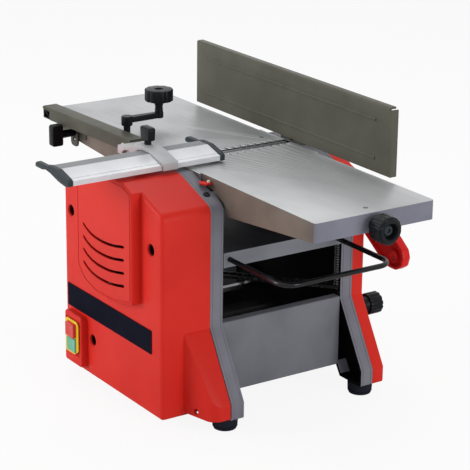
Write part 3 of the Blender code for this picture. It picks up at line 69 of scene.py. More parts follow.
TABLE_TOP = table_high.z
CUTTER_AXIS = (cutter_low.z + cutter_high.z) / 2
HALF_TABLE = 0.105
FRAME_IN = 0.109
FRAME_OUT = 0.131
WEB_IN = 0.127
COVER_SEAT = FRAME_OUT + 0.0003
NEAR_FACE = 0.215
PANEL_FACE = -extent("near_cover")[0].y
FAR_FACE = 0.153
SWITCH_FACE = -extent("switch_plate")[1].y - 0.0003
BODY_HALF = 0.145
SHOULDER_HALF = 0.0595
SHOULDER_TOP = extent("near_side_frame")[1].z
SHOULDER_FALL = 0.031
KNEE = 0.1485
TOE = 0.205
TOE_HEIGHT = 0.046
SOLE = 0.02
ARCH = 0.038
PLANES = {"XY": (0, 0, 0), "XZ": (math.pi / 2, 0, 0), "YZ": (math.pi / 2, 0, math.pi / 2)}
AXES = {"Z": (0, 0, 0), "Y": (-math.pi / 2, 0, 0), "X": (0, math.pi / 2, 0)}


# Shader maths

class Value:
    """A shader socket that takes part in ordinary arithmetic."""

    def __init__(self, finish, socket):
        self.finish = finish
        self.socket = socket

    def maths(self, operation, *terms):
        node = self.finish.node("ShaderNodeMath", {"operation": operation}, dict(enumerate(terms)))
        return Value(self.finish, node.outputs[0])

    def __add__(self, other):
        return self.maths("ADD", self, other)

    def __rsub__(self, other):
        return self.maths("SUBTRACT", other, self)

    def __mul__(self, other):
        return self.maths("MULTIPLY", self, other)

    def sine(self):
        return self.maths("SINE", self)

    def between(self, low, high):
        """0 below low, 1 above high, smooth in between."""
        node = self.finish.node("ShaderNodeMapRange", {"interpolation_type": "SMOOTHSTEP"},
            {"Value": self, "From Min": low, "From Max": high})
        return Value(self.finish, node.outputs[0])


class Finish:
    """One material: a Principled shader whose colour, roughness and grain vary over the piece."""

    def __init__(self, name, colour, roughness, metallic=0.0, coat=0.0, specular=0.2):
        self.material = bpy.data.materials.new(name)
        self.material.use_nodes = True
        self.tree = self.material.node_tree
        self.shader = self.tree.nodes["Principled BSDF"]
        self.colour = colour
        settings = {"Base Color": (*colour, 1), "Roughness": roughness, "Metallic": metallic,
            "Coat Weight": coat, "Coat Roughness": 0.2, "Specular IOR Level": specular}
        for socket, value in settings.items():
            self.shader.inputs[socket].default_value = value
        self.position = self.node("ShaderNodeTexCoord", {}, {}).outputs["Object"]

    def node(self, kind, settings, inputs):
        made = self.tree.nodes.new(kind)
        for setting, value in settings.items():
            setattr(made, setting, value)
        for socket, value in inputs.items():
            self.feed(made.inputs[socket], value)
        return made

    def feed(self, socket, value):
        if isinstance(value, Value):
            value = value.socket
        if isinstance(value, bpy.types.NodeSocket):
            self.tree.links.new(value, socket)
        else:
            socket.default_value = value

    def noise(self, scale, detail=3.0, stretch=(1, 1, 1)):
        mapped = self.node("ShaderNodeMapping", {}, {"Vector": self.position, "Scale": stretch})
        cloud = self.node("ShaderNodeTexNoise", {}, {"Vector": mapped.outputs[0], "Scale": scale,
            "Detail": detail, "Roughness": 0.55})
        return Value(self, cloud.outputs[0])

    def axis(self, letter):
        split = self.node("ShaderNodeSeparateXYZ", {}, {0: self.position})
        return Value(self, split.outputs[letter])

    def tint(self, mask, other):
        """The base colour fades to another one where the mask is 1."""
        mix = self.node("ShaderNodeMix", {"data_type": "RGBA"}, {"Factor": mask})
        self.feed(mix.inputs[6], (*self.colour, 1))
        self.feed(mix.inputs[7], (*other, 1))
        self.feed(self.shader.inputs["Base Color"], mix.outputs[2])

    def rough(self, value):
        self.feed(self.shader.inputs["Roughness"], value)

    def bump(self, height, distance, strength=1.0):
        node = self.node("ShaderNodeBump", {}, {"Height": height, "Distance": distance,
            "Strength": strength})
        self.feed(self.shader.inputs["Normal"], node.outputs[0])


def moulded(name, colour, shade, roughness, grain=900.0, coat=0.0, depth=0.00006):
    """Injection-moulded plastic: a fine leathery grain and a little drift in colour."""
    finish = Finish(name, colour, roughness, coat=coat, specular=0.12)
    drift = finish.noise(9.0, 2.0).between(0.35, 0.7)
    finish.tint(drift * 0.5, shade)
    finish.rough(finish.noise(30.0, 3.0) * 0.12 + (roughness - 0.06))
    finish.bump(finish.noise(grain, 2.0), depth, 0.5)
    return finish.material


def painted(name, colour, shade, roughness, depth=0.00005, grain=420.0, coat=0.0, specular=0.12):
    """Powder coat: orange peel over slightly uneven colour."""
    finish = Finish(name, colour, roughness, coat=coat, specular=specular)
    cloud = finish.noise(14.0, 3.0).between(0.3, 0.75)
    finish.tint(cloud, shade)
    finish.rough(finish.noise(60.0, 2.0) * 0.14 + (roughness - 0.07))
    finish.bump(finish.noise(grain, 2.0), depth, 0.6)
    return finish.material


def brushed(name, colour, shade, roughness, stretch, metallic, cloud_scale=5.0):
    """Metal with long fine scratches along one direction and soft handling clouds."""
    finish = Finish(name, colour, roughness, metallic)
    lines = finish.noise(260.0, 5.0, stretch)
    cloud = finish.noise(cloud_scale, 3.0, (1, 1.7, 1)).between(0.3, 0.72)
    finish.tint(cloud * 0.75 + lines * 0.25, shade)
    finish.rough(cloud * 0.1 + lines * 0.18 + (roughness - 0.12))
    finish.bump(lines, 0.00003, 0.6)
    return finish.material


RED_SHELL = moulded("red_shell", (0.68, 0.026, 0.016), (0.58, 0.017, 0.012), 0.4)
DEEP_RED = moulded("deep_red_plastic", (0.66, 0.018, 0.016), (0.52, 0.013, 0.012), 0.36)
TABLE_TOP_METAL = brushed("table_metal", (0.56, 0.57, 0.58), (0.36, 0.37, 0.38), 0.4, (0.03, 1, 0.3), 0.45)
BED_METAL = brushed("bed_metal", (0.23, 0.24, 0.27), (0.16, 0.17, 0.19), 0.42, (0.03, 1, 0.3), 0.3)
# Painted shade: a near-black copy of the bed metal for the shadow inside the machine.
BED_TOP_SHADE = brushed("bed_top_painted_shade", (0.06, 0.062, 0.07), (0.035, 0.036, 0.041), 0.5, (0.03, 1, 0.3), 0.1)
TABLE_CASTING = painted("table_casting", (0.215, 0.22, 0.265), (0.17, 0.175, 0.215), 0.48)
TABLE_SKIRT = painted("table_skirt", (0.185, 0.15, 0.125), (0.125, 0.104, 0.088), 0.46)
BODY_GREY = painted("body_grey", (0.215, 0.215, 0.25), (0.175, 0.175, 0.205), 0.46)
PANEL_GREY = painted("panel_grey", (0.195, 0.2, 0.225), (0.16, 0.165, 0.185), 0.5)
# Near-black painted shade for the inside of the machine, where the side walls lie in shadow.
INNER_SHADE_BLACK = painted("inner_painted_shade", (0.003, 0.003, 0.004), (0.002, 0.002, 0.002), 0.8, specular=0.04)
FENCE_OLIVE = painted("fence_olive", (0.11, 0.108, 0.084), (0.086, 0.085, 0.066), 0.42)
ARM_OLIVE = painted("arm_olive", (0.088, 0.086, 0.066), (0.062, 0.061, 0.048), 0.4)
GLOSS_BLACK = painted("gloss_black", (0.003, 0.003, 0.004), (0.006, 0.006, 0.007), 0.18, 0.00002, coat=0.3)
KNOB_BLACK = moulded("knob_black", (0.006, 0.007, 0.009), (0.013, 0.015, 0.018), 0.32, 1300.0)
SLATE = moulded("slate_plastic", (0.036, 0.045, 0.052), (0.024, 0.031, 0.038), 0.38)
FOOT_RUBBER = moulded("foot_rubber", (0.01, 0.012, 0.02), (0.018, 0.02, 0.03), 0.72, 600.0, 0.0, 0.00012)
EXTRUSION = brushed("extrusion_aluminium", (0.72, 0.73, 0.75), (0.58, 0.59, 0.62), 0.34, (1, 0.03, 1), 0.35,
    8.0)
# Painted shade: a darker copy of the extrusion's aluminium for its upper facets.
EXTRUSION_SHADE = brushed("extrusion_shadow", (0.26, 0.27, 0.28), (0.2, 0.21, 0.22), 0.42, (1, 0.03, 1), 0.3)
CAST_ALLOY = painted("cast_alloy", (0.52, 0.53, 0.54), (0.42, 0.43, 0.44), 0.4, 0.00002)
MACHINED = brushed("machined_steel", (0.5, 0.5, 0.52), (0.36, 0.36, 0.38), 0.34, (1, 0.05, 1), 0.9, 20.0)
ZINC = brushed("zinc_plate", (0.62, 0.62, 0.6), (0.45, 0.45, 0.43), 0.3, (1, 1, 1), 0.9, 40.0)
SWITCH_YELLOW = moulded("switch_yellow", (0.86, 0.6, 0.02), (0.74, 0.48, 0.01), 0.3, coat=0.3)
SWITCH_RED = moulded("switch_red", (0.72, 0.05, 0.03), (0.52, 0.02, 0.015), 0.25, coat=0.5)
SWITCH_GREEN = moulded("switch_green", (0.16, 0.5, 0.33), (0.08, 0.34, 0.22), 0.25, coat=0.5)
BAND_NAVY = painted("band_navy", (0.002, 0.003, 0.01), (0.003, 0.004, 0.012), 0.6, 0.00001, specular=0.03)
CREAM = moulded("cream_cap", (0.75, 0.68, 0.48), (0.6, 0.52, 0.34), 0.4)
WINDING = painted("copper_winding", (0.42, 0.17, 0.07), (0.3, 0.11, 0.05), 0.35, 0.0002, 900.0)


def threaded_steel():
    """A rod whose thread shows as rings along its height."""
    finish = Finish("threaded_steel", (0.2, 0.2, 0.21), 0.36, 0.8)
    rings = (finish.axis("Z") * (2 * math.pi / 0.004)).sine()
    finish.tint(rings.between(-0.6, 0.8), (0.05, 0.05, 0.052))
    finish.rough(rings * 0.06 + 0.34)
    finish.bump(rings, 0.0006, 0.7)
    return finish.material


def belt_rubber():
    finish = Finish("belt_rubber", (0.012, 0.012, 0.013), 0.7)
    ribs = (finish.axis("Y") * (2 * math.pi / 0.0024)).sine()
    finish.tint(finish.noise(80.0).between(0.4, 0.8), (0.03, 0.03, 0.031))
    finish.bump(ribs, 0.0004, 0.8)
    return finish.material


def chain_steel():
    """Rollers and side plates as light and dark cells."""
    finish = Finish("chain_steel", (0.06, 0.06, 0.064), 0.45, 0.6)
    cells = finish.node("ShaderNodeTexVoronoi", {}, {"Vector": finish.position, "Scale": 190.0})
    mask = Value(finish, cells.outputs["Distance"]).between(0.15, 0.6)
    finish.tint(mask, (0.012, 0.012, 0.013))
    finish.bump(1 - mask, 0.0004, 0.8)
    return finish.material


THREADED = threaded_steel()
BELT = belt_rubber()
CHAIN = chain_steel()


# Modelling

def deselect():
    bpy.ops.object.select_all(action="DESELECT")


def pick(piece):
    deselect()
    piece.select_set(True)
    bpy.context.view_layer.objects.active = piece
    return piece


def edit(select=None):
    """Opens the active piece for editing, with all of it or the chosen faces selected."""
    piece = bpy.context.view_layer.objects.active
    bpy.ops.object.mode_set(mode="EDIT")
    bpy.ops.mesh.select_mode(type="FACE")
    bpy.ops.mesh.select_all(action="SELECT" if select is None else "DESELECT")
    if select is not None:
        mesh = bmesh.from_edit_mesh(piece.data)
        for face in mesh.faces:
            face.select_set(bool(select(face)))
        bmesh.update_edit_mesh(piece.data)


def close_edit():
    bpy.ops.object.mode_set(mode="OBJECT")


def settle(piece):
    """Works the piece's place, turn and size into its mesh."""
    pick(piece)
    bpy.ops.object.transform_apply(location=True, rotation=True, scale=True)
    return piece


def tidy(piece):
    """Merges doubles and flat triangles and points every face outwards."""
    pick(piece)
    edit()
    bpy.ops.mesh.remove_doubles(threshold=0.000002)
    bpy.ops.mesh.dissolve_limited(angle_limit=math.radians(0.3))
    bpy.ops.mesh.select_all(action="SELECT")
    bpy.ops.mesh.normals_make_consistent(inside=False)
    close_edit()
    return piece


def ease(piece, width, segments=2, angle=28.0):
    """Rounds every sharp edge."""
    pick(piece)
    bevel = piece.modifiers.new("Ease", "BEVEL")
    bevel.width = width
    bevel.segments = segments
    bevel.limit_method = "ANGLE"
    bevel.angle_limit = math.radians(angle)
    bevel.use_clamp_overlap = True
    bpy.ops.object.modifier_apply(modifier="Ease")
    return piece


def rim(piece, width, where, segments=3):
    """Rounds the border of the chosen faces."""
    pick(piece)
    edit(where)
    bpy.ops.mesh.select_mode(type="EDGE")
    bpy.ops.mesh.region_to_loop()
    bpy.ops.mesh.bevel(offset=width, offset_type="OFFSET", segments=segments, affect="EDGES",
        clamp_overlap=True)
    close_edit()
    return piece


def combine(piece, operation, others):
    for other in others:
        pick(piece)
        change = piece.modifiers.new("Shape", "BOOLEAN")
        change.operation = operation
        change.solver = "MANIFOLD"
        change.object = other
        bpy.ops.object.modifier_apply(modifier="Shape")
        bpy.data.objects.remove(other)
    return piece


def cut(piece, *others):
    return combine(piece, "DIFFERENCE", others)


def join(piece, *others):
    return combine(piece, "UNION", others)


def common(piece, other):
    return combine(piece, "INTERSECT", (other,))


def slab(outline, start, end, plane="XZ"):
    """A flat outline given a thickness: XZ runs along Y, YZ along X and XY along Z."""
    deselect()
    curve = bpy.data.curves.new("outline", "CURVE")
    curve.dimensions = "2D"
    curve.fill_mode = "BOTH"
    curve.extrude = abs(end - start) / 2
    spline = curve.splines.new("POLY")
    spline.points.add(len(outline) - 1)
    for point, (across, up) in zip(spline.points, outline):
        point.co = (across, up, 0, 1)
    spline.use_cyclic_u = True
    piece = bpy.data.objects.new("slab", curve)
    bpy.context.scene.collection.objects.link(piece)
    pick(piece)
    bpy.ops.object.convert(target="MESH")
    piece = bpy.context.view_layer.objects.active
    middle = (start + end) / 2
    piece.location = {"XY": (0, 0, middle), "XZ": (0, middle, 0), "YZ": (middle, 0, 0)}[plane]
    piece.rotation_euler = PLANES[plane]
    settle(piece)
    return tidy(piece)


def block(low, high):
    deselect()
    middle = [(a + b) / 2 for a, b in zip(low, high)]
    bpy.ops.mesh.primitive_cube_add(size=1, location=middle)
    piece = bpy.context.view_layer.objects.active
    piece.scale = [b - a for a, b in zip(low, high)]
    return settle(piece)


def turned(stations, axis, place, sides=48, start=0.0):
    """A disc drawn out along an axis through (distance from the start, radius) stations."""
    deselect()
    stations = [(start + distance, radius) for distance, radius in stations]
    distance, radius = stations[0]
    bpy.ops.mesh.primitive_circle_add(vertices=sides, radius=radius, fill_type="NGON",
        location=(0, 0, distance))
    piece = bpy.context.view_layer.objects.active
    settle(piece)
    edit()
    for there, size in stations[1:]:
        bpy.ops.mesh.extrude_region_move(TRANSFORM_OT_translate={"value": (0, 0, there - distance)})
        factor = size / radius
        bpy.ops.transform.resize(value=(factor, factor, 1), center_override=(0, 0, there))
        distance, radius = there, size
    close_edit()
    piece.rotation_euler = AXES[axis]
    piece.location = place
    settle(piece)
    edit()
    bpy.ops.mesh.normals_make_consistent(inside=False)
    close_edit()
    return piece


def rod(radius, start, end, axis, place, sides=48):
    """A round bar along an axis."""
    return turned([(start, radius), (end, radius)], axis, place, sides)


def lean(piece, place, angle):
    """Turns a piece about a line along Y through a place."""
    here = Matrix.Translation(place)
    piece.matrix_world = here @ Matrix.Rotation(angle, 4, "Y") @ here.inverted() @ piece.matrix_world
    settle(piece)


def finished(piece, name, body, slot, material, *nodes, smooth=32.0):
    """Names a piece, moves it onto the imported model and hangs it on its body."""
    piece.name = name
    piece.data.name = name
    piece.data.materials.clear()
    piece.data.materials.append(material)
    piece.location = ORIGIN
    settle(piece)
    bpy.ops.object.shade_smooth_by_angle(angle=math.radians(smooth))
    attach(piece, body)
    if nodes:
        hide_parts(*nodes)
    return piece


def paint_faces(piece, material, where):
    """Gives the chosen faces of a finished piece a second finish."""
    piece.data.materials.append(material)
    index = len(piece.data.materials) - 1
    for face in piece.data.polygons:
        if where(face.center - ORIGIN, face.normal):
            face.material_index = index


# Outlines

def rounded(points, radii, steps=6):
    """The outline with its corners replaced by arcs; a radius of 0 keeps the corner."""
    result = []
    for index, (corner, radius) in enumerate(zip(points, radii)):
        here = Vector(corner)
        if radius <= 0:
            result.append(corner)
            continue
        before = (Vector(points[index - 1]) - here).normalized()
        after = (Vector(points[(index + 1) % len(points)]) - here).normalized()
        half = before.angle(after) / 2
        centre = here + (before + after).normalized() * radius / math.sin(half)
        foot = radius / math.tan(half)
        first = here + before * foot - centre
        last = here + after * foot - centre
        begin = math.atan2(first.y, first.x)
        sweep = (math.atan2(last.y, last.x) - begin + math.pi) % (2 * math.pi) - math.pi
        for step in range(steps + 1):
            turn = begin + sweep * step / steps
            result.append((centre.x + radius * math.cos(turn), centre.y + radius * math.sin(turn)))
    return result


def moved(points, across, up):
    return [(across + a, up + b) for a, b in points]


def inset(points, distance):
    """The anticlockwise outline with each side moved inwards."""
    moved = []
    for index, corner in enumerate(points):
        here = Vector(corner)
        first = (here - Vector(points[index - 1])).normalized()
        second = (Vector(points[(index + 1) % len(points)]) - here).normalized()
        normals = Vector((-first.y, first.x)), Vector((-second.y, second.x))
        share = distance / (1 + normals[0].dot(normals[1]))
        moved.append(tuple(here + (normals[0] + normals[1]) * share))
    return moved


def rectangle(low, high, radius=0.0, steps=4):
    corners = [low, (high[0], low[1]), high, (low[0], high[1])]
    return rounded(corners, [radius] * 4, steps) if radius else corners


def scallops(radius, count, depth, steps=8):
    """A round outline with a row of finger hollows."""
    points = []
    for index in range(count * steps):
        turn = 2 * math.pi * index / (count * steps)
        dip = max(0.0, math.cos(turn * count)) ** 3
        reach = radius - depth * dip
        points.append((reach * math.cos(turn), reach * math.sin(turn)))
    return points


def band(stations, thickness, tapered=False):
    """A strip of even thickness along a smooth line through stations."""
    upper, lower = [], []
    for index, (across, up) in enumerate(stations):
        before = Vector(stations[max(0, index - 1)])
        after = Vector(stations[min(len(stations) - 1, index + 1)])
        along = (after - before).normalized()
        offset = Vector((-along.y, along.x)) * thickness / 2
        if tapered and index in (0, len(stations) - 1):
            offset = offset * 0.4
        upper.append((across + offset.x, up + offset.y))
        lower.append((across - offset.x, up - offset.y))
    return lower + upper[::-1]


def side_outline(distance=0.0, legs=True, bottom=SOLE):
    right = [(0.138, ARCH), (0.15, SOLE), (TOE, SOLE), (TOE, TOE_HEIGHT), (BODY_HALF, KNEE)]
    radii = [0.004, 0, 0.003, 0.003, 0.004]
    if not legs:
        right = [(BODY_HALF, bottom)]
        radii = [0.006]
    right += [(BODY_HALF, SHOULDER_TOP - SHOULDER_FALL), (SHOULDER_HALF, SHOULDER_TOP)]
    radii += [0.014, 0.025]
    points = right + [(-across, up) for across, up in reversed(right)]
    radii += list(reversed(radii))
    if distance:
        points = inset(points, distance)
    return rounded(points, [max(0.0, radius - distance) for radius in radii])


# Camera, light and ground

def set_up_view():
    place = ORIGIN + Vector((2.3365, -1.5613, 1.169))
    target = ORIGIN + Vector((0.0131, 0.0001, 0.2331))
    bpy.ops.object.camera_add(location=place)
    camera = bpy.context.view_layer.objects.active
    level = (target - place).to_track_quat("-Z", "Y")
    camera.rotation_euler = (level @ Quaternion((0, 0, 1), math.radians(0.68))).to_euler()
    camera.data.lens = 144.84
    camera.data.sensor_width = 36
    camera.data.clip_end = 50
    bpy.context.scene.camera = camera
    bpy.context.scene.view_settings.view_transform = "Standard"

    world = bpy.data.worlds.new("studio")
    bpy.context.scene.world = world
    world.use_nodes = True
    tree = world.node_tree
    background = tree.nodes["Background"]
    background.inputs["Color"].default_value = (1, 1, 1, 1)
    path = tree.nodes.new("ShaderNodeLightPath")
    seen = tree.nodes.new("ShaderNodeMath")
    seen.operation = "MAXIMUM"
    tree.links.new(path.outputs["Is Camera Ray"], seen.inputs[0])
    tree.links.new(path.outputs["Is Glossy Ray"], seen.inputs[1])
    level = tree.nodes.new("ShaderNodeMapRange")
    tree.links.new(seen.outputs[0], level.inputs["Value"])
    level.inputs["To Min"].default_value = 0.4
    level.inputs["To Max"].default_value = 1.0
    tree.links.new(level.outputs[0], background.inputs["Strength"])

    lamps = [("window", (-1.4, -2.6, 1.1), (0, -0.1, 0.25), 1.4, 48.0),
        ("overhead", (-0.8, 0.3, 2.6), (0, 0, 0.3), 1.4, 20.0),
        ("front_fill", (2.7, 0.4, 0.8), (0.1, 0, 0.25), 1.3, 27.0)]
    for name, where, aim, size, power in lamps:
        bpy.ops.object.light_add(type="AREA", location=ORIGIN + Vector(where))
        lamp = bpy.context.view_layer.objects.active
        lamp.name = name
        lamp.data.size = size
        lamp.data.energy = power
        direction = Vector(aim) - Vector(where)
        lamp.rotation_euler = direction.to_track_quat("-Z", "Y").to_euler()

    deselect()
    bpy.ops.mesh.primitive_plane_add(size=16, location=(0, 0, 0))
    floor = bpy.context.view_layer.objects.active
    floor.name = "floor"
    ground = bpy.data.materials.new("pale_floor")
    ground.use_nodes = True
    nodes = ground.node_tree.nodes
    links = ground.node_tree.links
    paint = nodes["Principled BSDF"]
    paint.inputs["Base Color"].default_value = (0.92, 0.92, 0.92, 1)
    paint.inputs["Roughness"].default_value = 0.9
    paint.inputs["Specular IOR Level"].default_value = 0.0
    white = nodes.new("ShaderNodeEmission")
    white.inputs["Strength"].default_value = 1.0
    rays = nodes.new("ShaderNodeLightPath")
    share = nodes.new("ShaderNodeMath")
    share.operation = "MULTIPLY"
    links.new(rays.outputs["Is Camera Ray"], share.inputs[0])
    share.inputs[1].default_value = 0.9
    mix = nodes.new("ShaderNodeMixShader")
    links.new(share.outputs[0], mix.inputs[0])
    links.new(paint.outputs[0], mix.inputs[1])
    links.new(white.outputs[0], mix.inputs[2])
    links.new(mix.outputs[0], nodes["Material Output"].inputs["Surface"])
    floor.data.materials.append(ground)


# Base

SCREW_REACH = 0.128


def make_side_wall(name, side):
    """A cast side wall with flanges all round; its faces towards the inside are painted near-black as
    painted shade.
    """
    def span(first, last):
        return sorted((side * first, side * last))

    wall = slab(side_outline(), *span(FRAME_IN, FRAME_OUT))
    cut(wall, slab(side_outline(0.005), *span(FRAME_IN - 0.001, WEB_IN)))
    roller_height = CUTTER_AXIS - 0.011
    bosses = [rod(0.0202, *span(0.118, 0.13), "Y", (0, 0, CUTTER_AXIS), 40)]
    for reach in (-0.04, 0.04):
        bosses.append(rod(0.01, *span(0.112, 0.13), "Y", (reach, 0, roller_height), 28))
    low, high = span(FRAME_IN, 0.13)
    for reach in (-SCREW_REACH, SCREW_REACH):
        bosses.append(block((reach - 0.011, low, 0.146), (reach + 0.011, high, 0.158)))
    join(wall, *bosses)
    tidy(wall)
    ease(wall, 0.0012)
    low, high = span(0.108, 0.132)
    holes = [rod(0.0163, *span(FRAME_IN, WEB_IN + 0.0003), "Y", (0, 0, CUTTER_AXIS), 40),
        rod(0.0105, low, high, "Y", (0, 0, CUTTER_AXIS), 32)]
    for reach in (-0.04, 0.04):
        holes.append(rod(0.0053, low, high, "Y", (reach, 0, roller_height), 24))
    for reach in (-SCREW_REACH, SCREW_REACH):
        holes.append(rod(0.0063, 0.1497, 0.17, "Z", (reach, side * 0.1165, 0), 24))
    if side < 0:
        holes.append(block((-0.146, -0.132, 0.3215), (-0.111, -0.108, 0.3335)))
        holes.append(rod(0.01, low, high, "Y", (0, 0, 0.095), 32))
    for edge in (0.1128, 0.1272):
        line = slab(side_outline(-0.002), *span(edge - 0.0003, edge + 0.0003))
        cut(line, slab(side_outline(0.0005), *span(edge - 0.002, edge + 0.002)))
        holes.append(line)
    cut(wall, *holes)
    if side > 0:
        join(wall, rod(0.006, 0.128, 0.149, "Y", (0, 0, CUTTER_AXIS - 0.054), 28))
    finished(wall, name, "base", "grey_paint", BODY_GREY, name.replace("wall", "frame"))
    middle = Vector((0, 0, 0.2))

    def shaded_inner_face(centre, normal):
        inward = -side * normal.y > 0.5
        outward = centre - middle
        outward.y = 0
        return inward or normal.dot(outward.normalized()) < -0.05 and abs(normal.y) < 0.7

    # Painted shade: the faces towards the inside of the machine get the near-black finish.
    paint_faces(wall, INNER_SHADE_BLACK, shaded_inner_face)


def make_shoulder_screws():
    across = 0.116
    fall = SHOULDER_FALL / (BODY_HALF - SHOULDER_HALF)
    up = SHOULDER_TOP - fall * (across - SHOULDER_HALF)
    for side, wall in ((-1, "near"), (1, "far")):
        screw = turned([(-0.0015, 0.0052), (0.0012, 0.0052), (0.0026, 0.004), (0.0026, 0.002),
            (0.0014, 0.0018)], "Z", (across, side * 0.12, 0), 24, start=up)
        lean(screw, (across, 0, up), math.atan(fall))
        finished(screw, wall + "_shoulder_screw", "base", "black_plastic", KNOB_BLACK)


def make_base():
    make_side_wall("near_side_wall", -1)
    make_side_wall("far_side_wall", 1)
    for name, face in (("front_panel", 1), ("rear_panel", -1)):
        low, high = extent(name)
        sheet = 0.0025
        points = [(high.x, low.z), (high.x, high.z), (low.x, high.z), (low.x, high.z - sheet),
            (high.x - sheet, high.z - sheet), (high.x - sheet, low.z + sheet), (low.x, low.z + sheet),
            (low.x, low.z)]
        if face < 0:
            points = [(low.x + high.x - across, up) for across, up in reversed(points)]
        radii = [0.0022 if point[0] in (high.x, low.x) and abs(point[0]) > 0.14 else 0 for point in points]
        pan = slab(rounded(points, radii, 4), low.y, high.y)
        ease(pan, 0.0004, 1)
        finished(pan, name + "_pan", "base", "grey_paint", PANEL_GREY, name)
    for name in ("near_front_foot", "near_rear_foot", "far_front_foot", "far_rear_foot"):
        top = extent(name)[1].z
        place = centre_line(name, "Z")
        foot = turned([(0, 0.015), (0.0008, 0.0172), (0.003, 0.0182), (0.0048, 0.019), (0.006, 0.0176),
            (0.0072, 0.019), (0.015, 0.0194), (top - 0.0012, 0.0194), (top, 0.0182)], "Z", place, 48)
        cut(foot, turned([(-0.001, 0.0085), (0.004, 0.0078)], "Z", place, 32))
        finished(foot, name + "_rubber", "base", "rubber", FOOT_RUBBER, name)


# Covers

def leg_skirt(end, inner=0.0):
    """The near cover's spread over a leg, as the solid common to its front and its plan."""
    start = BODY_HALF - 0.012
    front = [(start, 0.022), (TOE, 0.022), (TOE, TOE_HEIGHT), (BODY_HALF, KNEE), (start, KNEE)]
    plan = [(start, COVER_SEAT), (TOE, COVER_SEAT), (TOE, COVER_SEAT + 0.02),
        (TOE - 0.006, COVER_SEAT + 0.031), (TOE - 0.012, COVER_SEAT + 0.0345), (start, COVER_SEAT + 0.049)]
    if inner:
        front = [(min(across, TOE - inner), up - inner * 1.2 if up > 0.03 else up - 0.004)
            for across, up in front]
        plan = [(min(across, TOE - inner), along - inner * 1.1 if along > COVER_SEAT else along - 0.004)
            for across, along in plan]
        front[0] = (start - 0.012, front[0][1])
        front[-1] = (start - 0.012, front[-1][1])
        plan[0] = (start - 0.012, plan[0][1])
        plan[-1] = (start - 0.012, plan[-1][1])
    front = [(end * across, up) for across, up in front]
    plan = [(end * across, -along) for across, along in plan]
    body = slab(front, -0.199, -0.1273)
    common(body, slab(plan, 0.0, 0.2, "XY"))
    return tidy(body)


def raised_outline(distance=0.0):
    points = [(-0.08, 0.2), (-0.058, 0.1795), (-0.022, 0.17), (0.03, 0.171), (0.085, 0.183),
        (0.085, SHOULDER_TOP - 0.0095), (SHOULDER_HALF, SHOULDER_TOP), (-SHOULDER_HALF, SHOULDER_TOP),
        (-0.08, SHOULDER_TOP - 0.0075)]
    radii = [0.012, 0.03, 0.05, 0.06, 0.005, 0, 0.006, 0.006, 0]
    if distance:
        points = inset(points, distance)
    return rounded(points, radii)


def vent_line(row):
    stations = [(-0.059, 0.2735), (-0.057, 0.2718), (-0.047, 0.2662), (-0.034, 0.2618), (-0.018, 0.2596),
        (0.0, 0.2592), (0.018, 0.2602), (0.036, 0.2628), (0.06, 0.268), (0.063, 0.2688)]
    return [(across, up - row * 0.0205) for across, up in stations]


STICK_PEGS = ((0.13, 0.283), (0.075, 0.318))
SCREW_WELLS = [(-0.1235, 0.2725), (0.1145, 0.2765), (-0.06, 0.0775)]


